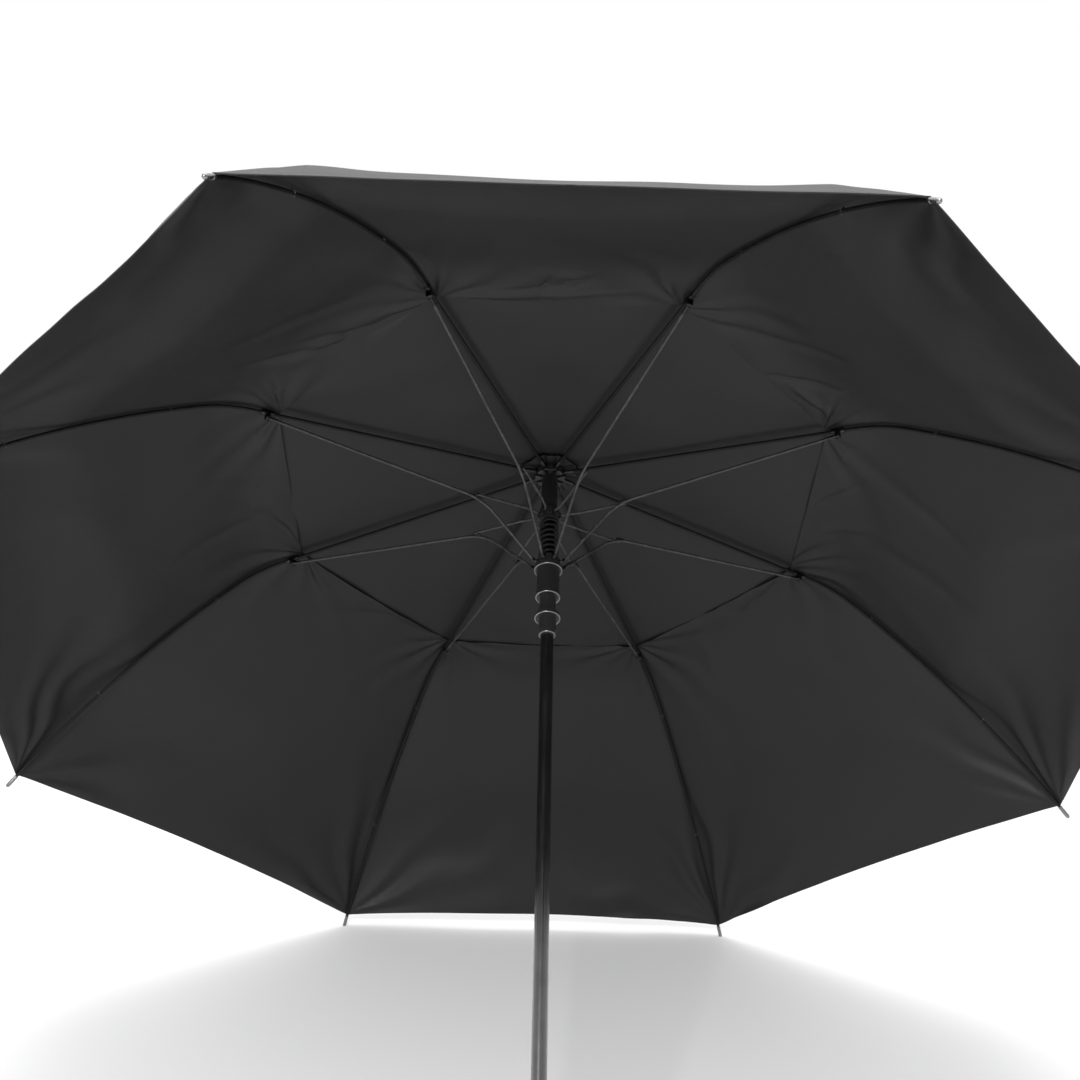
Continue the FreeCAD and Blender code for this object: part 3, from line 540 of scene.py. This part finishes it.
def gore_folds(panel, along, across, hem, corner_side, tip_side):
    """How far the lower cloth stands off its smooth shape."""
    rng = np.random.default_rng(100 + panel)
    off = 0.0011 * smooth_noise(rng, along, across, 0.16)
    tip_fold = TOP_TIP_FOLD if panel == TOP_PANEL else TIP_FOLD
    for side in (-1, 1):
        tip = (hem, side * tip_side)
        off += fan(rng, along, across, tip, 15, 0.085, tip_fold)
        corner = (-0.006, side * corner_side)
        off += fan(rng, along, across, corner, 13, 0.045, CORNER_FOLD)
    ruffle = smooth_noise(rng, along * 0.45, across, 0.045)
    off += 0.0011 * ruffle * np.exp(-along / 0.040)
    for fold in FOLDS[panel]:
        off += fold_line(along, across, *fold)
    return off


def normals_of(grid):
    """Unit normals of a grid of points, away from the umbrella's inside."""
    down = np.gradient(grid, axis=0)
    over = np.gradient(grid, axis=1)
    normal = np.cross(down, over)
    return normal / np.linalg.norm(normal, axis=2, keepdims=True)


def panel_normals(panel, points, length):
    """Normals of a panel, which at its seams are the ribs' own, so that neighbours meet."""
    normal = normals_of(points)
    slope = rib_line(length[:, 0])[2]
    for column, k in ((0, panel), (-1, panel + 1)):
        out = np.array(outward(k))
        normal[:, column] = np.outer(np.sin(slope), out)
        normal[:, column, 2] = np.cos(slope)
    return normal


def panel_points(panel, length, share, lift):
    """Points between rib panel and the next; share runs from 0 to 1 across."""
    radius, drop = off_rib(length, lift)
    first, second = outward(panel), outward(panel + 1)
    x = radius * ((1 - share) * first.x + share * second.x)
    y = radius * ((1 - share) * first.y + share * second.y)
    return np.stack([x, y, CROWN - drop], axis=2)


def across_shares(count):
    """Shares across a panel, closer together at the ribs."""
    even = np.linspace(0, 1, count)
    return 0.55 * even + 0.45 * (0.5 - 0.5 * np.cos(math.pi * even))


def bulge(share):
    """0 on the ribs and 1 at the panel's middle."""
    return 4 * share * (1 - share)


class Sheet:
    """One panel's cloth as a grid with an outer and an inner skin, to be cut into pieces."""

    def __init__(self, points, extra_inside, along, across, normal=None):
        self.normal = normals_of(points) if normal is None else normal
        self.outer = points + self.normal * CLOTH / 2
        self.inner = points - self.normal * (CLOTH / 2 + extra_inside[..., None])
        self.middle = points
        self.along = along
        self.across = across

    def area(self, rows, columns):
        part = self.middle[rows, columns]
        first = part[1:, :-1] - part[:-1, :-1]
        second = part[:-1, 1:] - part[:-1, :-1]
        return float(np.linalg.norm(np.cross(first, second), axis=2).sum())

    def piece(self, name, rows, columns):
        """The part of the sheet between these rows and columns, closed at its edges."""
        outer, inner = self.outer[rows, columns], self.inner[rows, columns]
        normal = self.normal[rows, columns]
        n, m = outer.shape[:2]
        points = np.concatenate([outer.reshape(-1, 3), inner.reshape(-1, 3)])
        index = np.arange(n * m).reshape(n, m)
        a, b, c, d = index[:-1, :-1], index[1:, :-1], index[1:, 1:], index[:-1, 1:]
        top = np.stack([a, b, c, d], axis=2).reshape(-1, 4)
        under = top[:, ::-1] + n * m
        loop = np.concatenate([index[0, :-1], index[:-1, -1], index[-1, :0:-1], index[:0:-1, 0]])
        after = np.roll(loop, -1)
        rim = np.stack([loop, after, after + n * m, loop + n * m], axis=1)
        faces = np.concatenate([top, under, rim])
        piece = add_piece(name, points, faces.tolist(), "cloth_outside", "canopy_cloth")
        piece.data.materials.append(LOOKS["cloth_inside"])
        skin = (np.arange(len(faces)) >= len(top)).astype(int)
        piece.data.polygons.foreach_set("material_index", skin)
        self.unwrap(piece, rows, columns)
        flat = normal.reshape(-1, 3)
        shading = np.zeros((len(faces) * 4, 3))
        shading[: len(top) * 4] = flat[top.ravel()]
        shading[len(top) * 4: 2 * len(top) * 4] = -flat[under.ravel() - n * m]
        piece.data.normals_split_custom_set(shading.tolist())
        return piece

    def unwrap(self, piece, rows, columns):
        """UVs in metres of cloth: across the panel, and along the rib."""
        across = self.across[rows, columns].ravel()
        along = self.along[rows, columns].ravel()
        flat = np.tile(np.stack([across, along], axis=1), (2, 1))
        corners = np.zeros(len(piece.data.loops), int)
        piece.data.loops.foreach_get("vertex_index", corners)
        layer = piece.data.uv_layers.new(name="cut")
        layer.data.foreach_set("uv", flat[corners].ravel())


def fold_with_rib(piece, k, part):
    """Rides on rib k's inner or outer rod."""
    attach(piece, f"{part}_rib_{k}")
    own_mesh(piece)


def cut_panel(sheet, panel, name, split, hides):
    """Cuts a panel at its middle and at the ribs' bend, and gives each piece its rib."""
    rows, columns = sheet.middle.shape[:2]
    middle = columns // 2
    halves = (("right", panel, 1, slice(0, middle + 1)),
              ("left", (panel + 1) % RIBS, -1, slice(middle, columns)))
    parts = (("inner", slice(0, split + 1)), ("outer", slice(split, rows)))
    for word, k, side, over in halves:
        for part, along in parts:
            piece = sheet.piece(f"{name}_{part}_{word}_{k}", along, over)
            across = sheet.across[along, over]
            width = float(np.ptp(across, axis=1).max())
            length = float(np.ptp(sheet.along[along, over], axis=0).max())
            area = sheet.area(along, over)
            width = max(width, area / length * 1.002)
            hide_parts(hides.format(k=k))
            fold_with_rib(piece, k, part)


def edge_fold(distance, width, height):
    """Extra thickness of a turned and stitched edge, by distance from that edge."""
    ramp = np.clip((width - distance) / 0.0025, 0, 1)
    stitch_line = np.exp(-(((distance - 0.8 * width) / 0.0012) ** 2))
    return height * (ramp - 0.45 * ramp * stitch_line)


def seam_fold(share, height):
    """Extra thickness beside the ribs' seams, which ends on a column of the grid."""
    near, far = share[0, 1], share[0, 2]
    from_seam = np.minimum(share, 1 - share)
    return height * np.clip((far - from_seam) / (far - near), 0, 1)


def swell(panel, from_hem, share):
    """How far the cloth billows out between the ribs' long curve and the hem."""
    hump = np.sin(math.pi * np.clip(from_hem / SWELL_REACH, 0, 1)) ** 1.5
    off_seam = 1 - abs(2 * share - 1)
    beside_rib = np.exp(-(((off_seam - 0.18) / 0.16) ** 2))
    billow = np.clip(off_seam / 0.16, 0, 1) * (SWELL_IN_PANEL + SWELL_BESIDE_RIB * beside_rib)
    return hump * (SWELL_AT_RIB + billow * (1 if panel == TOP_PANEL else 0.3))


def make_gore_panel(panel):
    """The lower cloth between two ribs, from the vent's edge to the hem."""
    split_share = (STRAIGHT - GORE_INNER) / (GORE_OUTER - GORE_INNER)
    rows = np.concatenate([
        np.linspace(0, 0.022, 6), np.linspace(0.029, split_share, 12)[:-1],
        np.linspace(split_share, 0.970, 62), [0.9765, 0.9795, 0.985, 0.991, 0.997, 1.0]])
    split = int(np.argmin(abs(rows - split_share)))
    share = across_shares(101)
    u, v = np.meshgrid(rows, share, indexing="ij")
    middle = bulge(v)
    hem = GORE_OUTER - HEM_DIP * middle
    length = GORE_INNER + (hem - GORE_INNER) * u
    along = length - GORE_INNER
    chord = 2 * math.sin(RIB_STEP / 2) * rib_line(length)[0]
    across = (v - 0.5) * chord
    sag = 0.008 * np.sin(math.pi * (0.15 + 0.85 * u))
    corner = math.sin(RIB_STEP / 2) * float(rib_line(GORE_INNER)[0])
    tip = math.sin(RIB_STEP / 2) * float(rib_line(GORE_OUTER)[0])
    folds = gore_folds(panel, along, across, GORE_OUTER - GORE_INNER, corner, tip)
    folds *= np.clip(middle / 0.10, 0, 1)
    seam_lift = GORE_LIFT - 0.0011 * np.clip(1 - (hem - length) / 0.10, 0, 1)
    lift = seam_lift - sag * middle + folds + swell(panel, hem - length, v)
    points = panel_points(panel, length, v, lift)
    extra = (edge_fold(hem - length, HEM_FOLD, 0.0007)
             + edge_fold(along, 0.007, 0.0005)
             + seam_fold(v, 0.0007))
    sheet = Sheet(points, extra, along, across, panel_normals(panel, points, length))
    cut_panel(sheet, panel, "gore", split, "gore_{k}")


def make_vent_panel(panel):
    """The upper cloth between two ribs, from the hub past the vent."""
    inner = VENT_HOLE - PIN_CIRCLE
    split_share = (STRAIGHT - inner) / (VENT_OUTER - inner)
    rows = np.concatenate([
        np.linspace(0, 0.12, 10)[:-1], np.linspace(0.12, split_share, 40)[:-1],
        np.linspace(split_share, 0.978, 9), [0.982, 0.99, 1.0]])
    split = int(np.argmin(abs(rows - split_share)))
    u, v = np.meshgrid(rows, across_shares(61), indexing="ij")
    middle = bulge(v)
    length = inner + (VENT_OUTER - inner) * u
    chord = 2 * math.sin(RIB_STEP / 2) * rib_line(length)[0]
    across = (v - 0.5) * chord
    rng = np.random.default_rng(200 + panel)
    folds = 0.0008 * smooth_noise(rng, length, across, 0.10) * np.clip(middle / 0.3, 0, 1)
    folds *= np.clip(u / 0.15, 0, 1)
    radius = rib_line(length)[0]
    rise = VENT_RISE * np.exp(-((radius / VENT_RISE_REACH) ** 2))
    sag = 0.0055 * np.sin(math.pi * 0.8 * u)
    lift = VENT_LIFT + rise - sag * middle + folds
    points = panel_points(panel, length, v, lift)
    extra = seam_fold(v, 0.0006) * np.clip(u / 0.1, 0, 1)
    sheet = Sheet(points, extra, length - inner, across, panel_normals(panel, points, length))
    cut_panel(sheet, panel, "vent", split, "vent_canopy")


def make_rosette(k):
    """A petal of the scalloped cloth patch inside the crown, under the ribs' ends."""
    inner, outer, scallop = 0.0185, 0.030, 0.003
    rows, columns = 14, 25
    u, v = np.meshgrid(np.linspace(0, 1, rows), np.linspace(-0.5, 0.5, columns), indexing="ij")
    edge = outer + scallop * np.cos(v * math.pi) ** 0.5
    radius = inner + (edge - inner) * u
    turn = azimuth(k) + v * RIB_STEP
    drop = (radius - PIN_CIRCLE) * math.tan(SLOPE) - 0.0052 + 0.0007 * np.cos(v * 6 * math.pi) * u
    points = np.stack([radius * np.cos(turn), radius * np.sin(turn), CROWN - drop], axis=2)
    extra = edge_fold((1 - u) * (outer - inner), 0.004, 0.0005)
    sheet = Sheet(points, extra, radius - inner, v * RIB_STEP * radius)
    whole = slice(0, None)
    piece = sheet.piece(f"crown_patch_{k}", whole, whole)
    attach(piece, f"inner_rib_{k}")
    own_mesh(piece)


# ---- ribs and linkage ---------------------------------------------------------------


def make_rib(k):
    """One rod from the crown to the tip."""
    lengths = np.concatenate([np.linspace(0.0016, 0.30, 20), np.linspace(0.306, 0.43, 26),
                              np.linspace(0.44, RIB_LENGTH - 0.002, 34)])
    path = [off_rib(length, 0.0)[:2] for length in lengths]
    points, faces = rod_shape(k, path, RIB_RADIUS)
    rod = add_piece(f"rib_rod_{k}", points, faces, "rib", "fibreglass")
    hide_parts(f"rib_inner_{k}", f"rib_outer_{k}")
    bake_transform(rod)


def make_crown_eye(k):
    """Eye of a rib on the crown's pin wire, with its shank."""
    pin = (PIN_CIRCLE, 0.0)
    shank = [off_rib(length, 0.0)[:2] for length in (0.0, 0.004, 0.0155, 0.0165)]
    eye = [pin_shape(k, pin, 0.0029, -0.0017, 0.0017),
           rod_shape(k, shank, [0.0016, 0.0025, 0.0025, 0.0020])]
    piece = add_piece(f"rib_eye_{k}", *joined(eye), "clip_steel", "black_steel")
    sharpen(piece)
    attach(piece, f"inner_rib_{k}")


def make_joint_clip(k):
    """Clip of a rib with two cheeks that hold the stretcher's pin."""
    half = 0.0075
    sleeve = [off_rib(JOINT_DISTANCE + d, 0.0)[:2]
              for d in (-half, -half + 0.0004, half - 0.0004, half)]
    shapes = [rod_shape(k, sleeve, [0.0024, 0.0028, 0.0028, 0.0024])]
    for side in (-1, 1):
        near, far = sorted((side * 0.0020, side * 0.0032))
        shapes.append(cheek_shape(k, near, far))
    shapes.append(pin_shape(k, JOINT, 0.00085, -0.0039, 0.0039))
    shapes.append(pin_shape(k, JOINT, 0.0015, 0.0032, 0.0041))
    piece = add_piece(f"joint_clip_{k}", *joined(shapes), "clip_steel", "black_steel")
    sharpen(piece)
    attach(piece, f"inner_rib_{k}")


def make_rib_tip(k):
    """Metal cap with a groove at the end of a rib."""
    start = RIB_LENGTH - 0.010
    steps = [(0, 0.0021), (0.0004, 0.0024), (0.0030, 0.0024), (0.0034, 0.0021),
             (0.0040, 0.0021), (0.0044, 0.0024), (0.0130, 0.0024), (0.0148, 0.0021),
             (0.0160, 0.0012), (0.0164, 0.0003)]
    path = [off_rib(start + along, 0.0)[:2] for along, _ in steps]
    points, faces = rod_shape(k, path, [radius for _, radius in steps], 20)
    tip = add_piece(f"rib_tip_{k}", points, faces, "tip_steel", "black_steel")
    sharpen(tip)
    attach(tip, f"outer_rib_{k}")


def make_thread_ties(k):
    """Turns of thread, with a knot, that hold the cloth to a rib."""
    for i, spot in enumerate(TIE_PLACES):
        shapes = []
        for turn in (-0.0009, 0.0, 0.0009):
            ring = [off_rib(spot + turn + d, 0.0006)[:2] for d in (-0.0004, 0, 0.0004)]
            shapes.append(rod_shape(k, ring, [0.0020, 0.0024, 0.0020]))
        knot = off_rib(spot, -0.0024)[:2]
        shapes.append(pin_shape(k, knot, 0.0007, -0.0008, 0.0008, 10))
        stitch = [off_rib(spot, lift)[:2] for lift in (0.0015, 0.0040)]
        shapes.append(rod_shape(k, stitch, 0.0009, 8))
        tie = add_piece(f"thread_tie_{k}_{i}", *joined(shapes), "thread", "canopy_cloth")
        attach(tie, f"outer_rib_{k}")


def cheek_shape(k, near, far):
    """A flat cheek with a round lower end, between two distances sideways."""
    foot = off_rib(JOINT_DISTANCE, 0.0)
    down = (Vector(JOINT) - Vector((float(foot[0]), float(foot[1])))).normalized()
    along = Vector((down.y, -down.x))
    half = 0.0026
    outline = [Vector(JOINT) + along * half * math.cos(t) + down * half * math.sin(t)
               for t in (math.pi * i / 12 for i in range(13))]
    top = Vector(JOINT) - down * JOINT_OFFSET
    outline += [top - along * half, top + along * half]
    count = len(outline)
    points = [place(k, p.x, p.y, side) for side in (near, far) for p in outline]
    return points, ring_faces(2, count)


def make_stretcher(k):
    """Stretcher and arm: one bent rod from the rib's joint to the runner."""
    hook = (0.0128, 0.1322)
    corners = [towards(JOINT, ROD_BEND, 0.0012), ROD_BEND, ARM_END, hook]
    path = stretch_path(rounded_path(corners, 0.060), 0.008)
    points, faces = rod_shape(k, path, 0.0016)
    rod = add_piece(f"stretcher_bar_{k}", points, faces, "linkage", "fibreglass")
    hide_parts(f"stretcher_{k}", f"stretcher_arm_{k}")
    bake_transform(rod)


def make_stretcher_fittings(k):
    """Eyes at the two ends of a stretcher with its arm, and the clip that holds the strut."""
    eye_neck = [towards(JOINT, ROD_BEND, d) for d in (0.0018, 0.0022, 0.011, 0.012)]
    shapes = [pin_shape(k, JOINT, 0.0025, -0.0017, 0.0017),
              rod_shape(k, eye_neck, [0.0017, 0.0021, 0.0021, 0.0017])]
    clip = [towards(STRUT_JOINT, JOINT, d) for d in (-0.0045, -0.0042, 0.0042, 0.0045)]
    shapes.append(rod_shape(k, clip, [0.0018, 0.0020, 0.0020, 0.0018]))
    shapes.append(pin_shape(k, STRUT_JOINT, 0.00085, 0, 0.0056))
    shapes.append(pin_shape(k, STRUT_JOINT, 0.0012, 0.0052, 0.0057))
    piece = add_piece(f"stretcher_fittings_{k}", *joined(shapes), "clip_steel", "black_steel")
    sharpen(piece)
    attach(piece, f"stretcher_rod_{k}")

    end = pin_shape(k, ARM_END, 0.0021, -0.0017, 0.0017)
    piece = add_piece(f"arm_eye_{k}", *end, "clip_steel", "black_steel")
    sharpen(piece)
    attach(piece, f"arm_rod_{k}")


def make_strut(k):
    """Short strut from the stretcher's clip to the slider, beside the stretcher."""
    hook = (0.0135, 0.0636)
    corners = [(*towards(STRUT_JOINT, STRUT_END, 0.001), STRUT_SIDE),
               (*towards(STRUT_END, STRUT_JOINT, 0.016), STRUT_SIDE),
               (*STRUT_END, 0.0028), (*hook, 0.0)]
    path = stretch_path(rounded_path(corners, 0.010), 0.010)
    shapes = [rod_shape(k, path, 0.0014),
              pin_shape(k, STRUT_JOINT, 0.0018, STRUT_SIDE - 0.0009, STRUT_SIDE + 0.0009)]
    piece = add_piece(f"strut_bar_{k}", *joined(shapes), "linkage", "fibreglass")
    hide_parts(f"strut_{k}")
    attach(piece, f"strut_rod_{k}")


# ---- handle -------------------------------------------------------------------------


def make_grip():
    """Foam sleeve with a faint waist, round shoulders and shallow finger rings."""
    low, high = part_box("handle_grip")
    foot, top, full = low.z, high.z, high.x
    profile = [(0.0068, foot), (full - 0.0016, foot), (full - 0.0004, foot + 0.0008),
               (full, foot + 0.0024)]
    count = 90
    for i in range(1, count):
        share = i / count
        height = foot + 0.0024 + (top - foot - 0.0050) * share
        waist = 0.0011 * math.sin(math.pi * share) ** 2
        ring = 0.0004 * (0.5 - 0.5 * math.cos(2 * math.pi * 9 * share))
        fade = min(1, 8 * share, 8 * (1 - share))
        profile.append((full - waist - ring * fade, height))
    profile += [(full, top - 0.0026), (full - 0.0007, top - 0.0009), (full - 0.0024, top),
                (0.0072, top)]
    points, faces = turned_shape(profile, 72)
    grip = add_piece("grip_cover", points, faces, "grip_foam", "grip_foam")
    sharpen(grip, 50)
    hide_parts("handle_grip")
    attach(grip, "stick")


def dress_frame_nodes():
    """Finish of the CAD pieces that stay."""
    looks = {
        "shaft_tube": "black_steel", "ferrule": "black_steel", "buffer_spring": "spring_steel",
        "crown_notch": "black_plastic", "top_cap": "black_plastic", "runner": "black_plastic",
        "strut_slider": "black_plastic", "handle_collar": "black_plastic",
        "push_button": "button_plastic", "end_cap": "black_plastic",
    }
    for name, look in looks.items():
        mesh = NODES[name].data
        mesh.materials.clear()
        mesh.materials.append(LOOKS[look])


def hoop_shape(radius, height, thickness, sides=72, around=10):
    """Points and faces of a round wire hoop about the axis."""
    points = []
    for i in range(sides):
        turn = 2 * math.pi * i / sides
        for j in range(around):
            tilt = 2 * math.pi * j / around
            reach = radius + thickness * math.cos(tilt)
            points.append(Vector((reach * math.cos(turn), reach * math.sin(turn),
                                  height + thickness * math.sin(tilt))))
    faces = [(i * around + j, (i + 1) % sides * around + j,
              (i + 1) % sides * around + (j + 1) % around, i * around + (j + 1) % around)
             for i in range(sides) for j in range(around)]
    return points, faces


def make_runner_trim():
    """Satin beads on the runner's lip, stop ring, band and flange."""
    foot = CROWN - RUNNER_FOOT
    radius_and_rise = ((0.0082, 0.0005), (0.0134, 0.0225), (0.0128, 0.0505), (0.0149, 0.0875))
    hoops = [hoop_shape(radius, foot + rise, BEAD_RADIUS) for radius, rise in radius_and_rise]
    trim = add_piece("runner_trim", *joined(hoops), "trim_steel", "black_plastic")
    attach(trim, "runner_body")


# ---- stage --------------------------------------------------------------------------

CAMERA_PLACE = Vector((-0.0252, -1.2666, -0.1686))
CAMERA_AHEAD = Vector((0.0094, 0.7777, 0.6285))
CAMERA_UP = Vector((-0.0309, -0.6280, 0.7776))
CAMERA_LENS = 48.27
# The umbrella lies on two rib tips and its handle's end.
FLOOR_UP = Vector((0, -0.741, 0.672)).normalized()


def make_camera():
    camera = bpy.data.objects.new("camera", bpy.data.cameras.new("camera"))
    bpy.context.scene.collection.objects.link(camera)
    ahead = CAMERA_AHEAD.normalized()
    right = ahead.cross(CAMERA_UP).normalized()
    up = right.cross(ahead)
    turn = Matrix((right, up, -ahead)).transposed().to_4x4()
    camera.matrix_world = Matrix.Translation(CAMERA_PLACE) @ turn
    camera.data.lens = CAMERA_LENS
    camera.data.sensor_width = 36
    camera.data.clip_start = 0.01
    bpy.context.scene.camera = camera


def floor_frame():
    """Right, ahead and up of the floor, seen from the camera."""
    right = Vector((1, 0, 0))
    return right, FLOOR_UP.cross(right).normalized(), FLOOR_UP


def make_floor():
    right, ahead, up = floor_frame()
    start = Vector((0, 0.017, 0)) - up * 0.003
    near, far, half = -2.5, 6.0, 5.0
    corners = [start + right * x + ahead * y for x, y in
               ((-half, near), (half, near), (half, far), (-half, far))]
    mesh = bpy.data.meshes.new("floor")
    mesh.from_pydata([tuple(c) for c in corners], [], [(0, 1, 2, 3)])
    mesh.materials.append(floor_look())
    floor = bpy.data.objects.new("floor", mesh)
    bpy.context.scene.collection.objects.link(floor)


def add_light(name, spot, target, size, power):
    light = bpy.data.lights.new(name, "AREA")
    light.shape = "RECTANGLE"
    light.size, light.size_y = size
    light.energy = power
    lamp = bpy.data.objects.new(name, light)
    bpy.context.scene.collection.objects.link(lamp)
    lamp.location = spot
    lamp.rotation_euler = (target - spot).to_track_quat("-Z", "Y").to_euler()


def make_world():
    """White all round, and dimmer on the camera's side, so that folds show."""
    world = bpy.data.worlds.new("studio")
    bpy.context.scene.world = world
    world.use_nodes = True
    ahead = floor_frame()[1]
    nodes, links = world.node_tree.nodes, world.node_tree.links
    direction = nodes.new("ShaderNodeTexCoord")
    facing = nodes.new("ShaderNodeVectorMath")
    facing.operation = "DOT_PRODUCT"
    facing.inputs[1].default_value = ahead
    strength = nodes.new("ShaderNodeMapRange")
    for socket, number in (("From Min", -0.5), ("From Max", 0.5), ("To Min", 0.45), ("To Max", 1.0)):
        strength.inputs[socket].default_value = number
    links.new(direction.outputs["Generated"], facing.inputs[0])
    links.new(facing.outputs["Value"], strength.inputs["Value"])
    links.new(strength.outputs["Result"], nodes["Background"].inputs["Strength"])
    nodes["Background"].inputs["Color"].default_value = (1, 1, 1, 1)


def light_stage():
    """A large light over the umbrella, and a smaller one high on the camera's left."""
    right, ahead, up = floor_frame()
    middle = Vector((0, 0, 0.75))
    add_light("top_light", middle + up * 2.6 + ahead * 0.3, middle, (2.6, 2.6), 60)
    add_light("front_light", middle - ahead * 2.2 + up * 1.7 - right * 0.7, middle, (0.9, 0.9), 62)


# ---- build --------------------------------------------------------------------------

dress_frame_nodes()
make_grip()
make_runner_trim()
for rib in range(RIBS):
    make_rib(rib)
    make_crown_eye(rib)
    make_joint_clip(rib)
    make_rib_tip(rib)
    make_thread_ties(rib)
    make_stretcher(rib)
    make_stretcher_fittings(rib)
    make_strut(rib)
    make_rosette(rib)
for gap in range(RIBS):
    make_gore_panel(gap)
    make_vent_panel(gap)
make_camera()
make_floor()
make_world()
light_stage()
bpy.context.scene.view_settings.view_transform = "Standard"
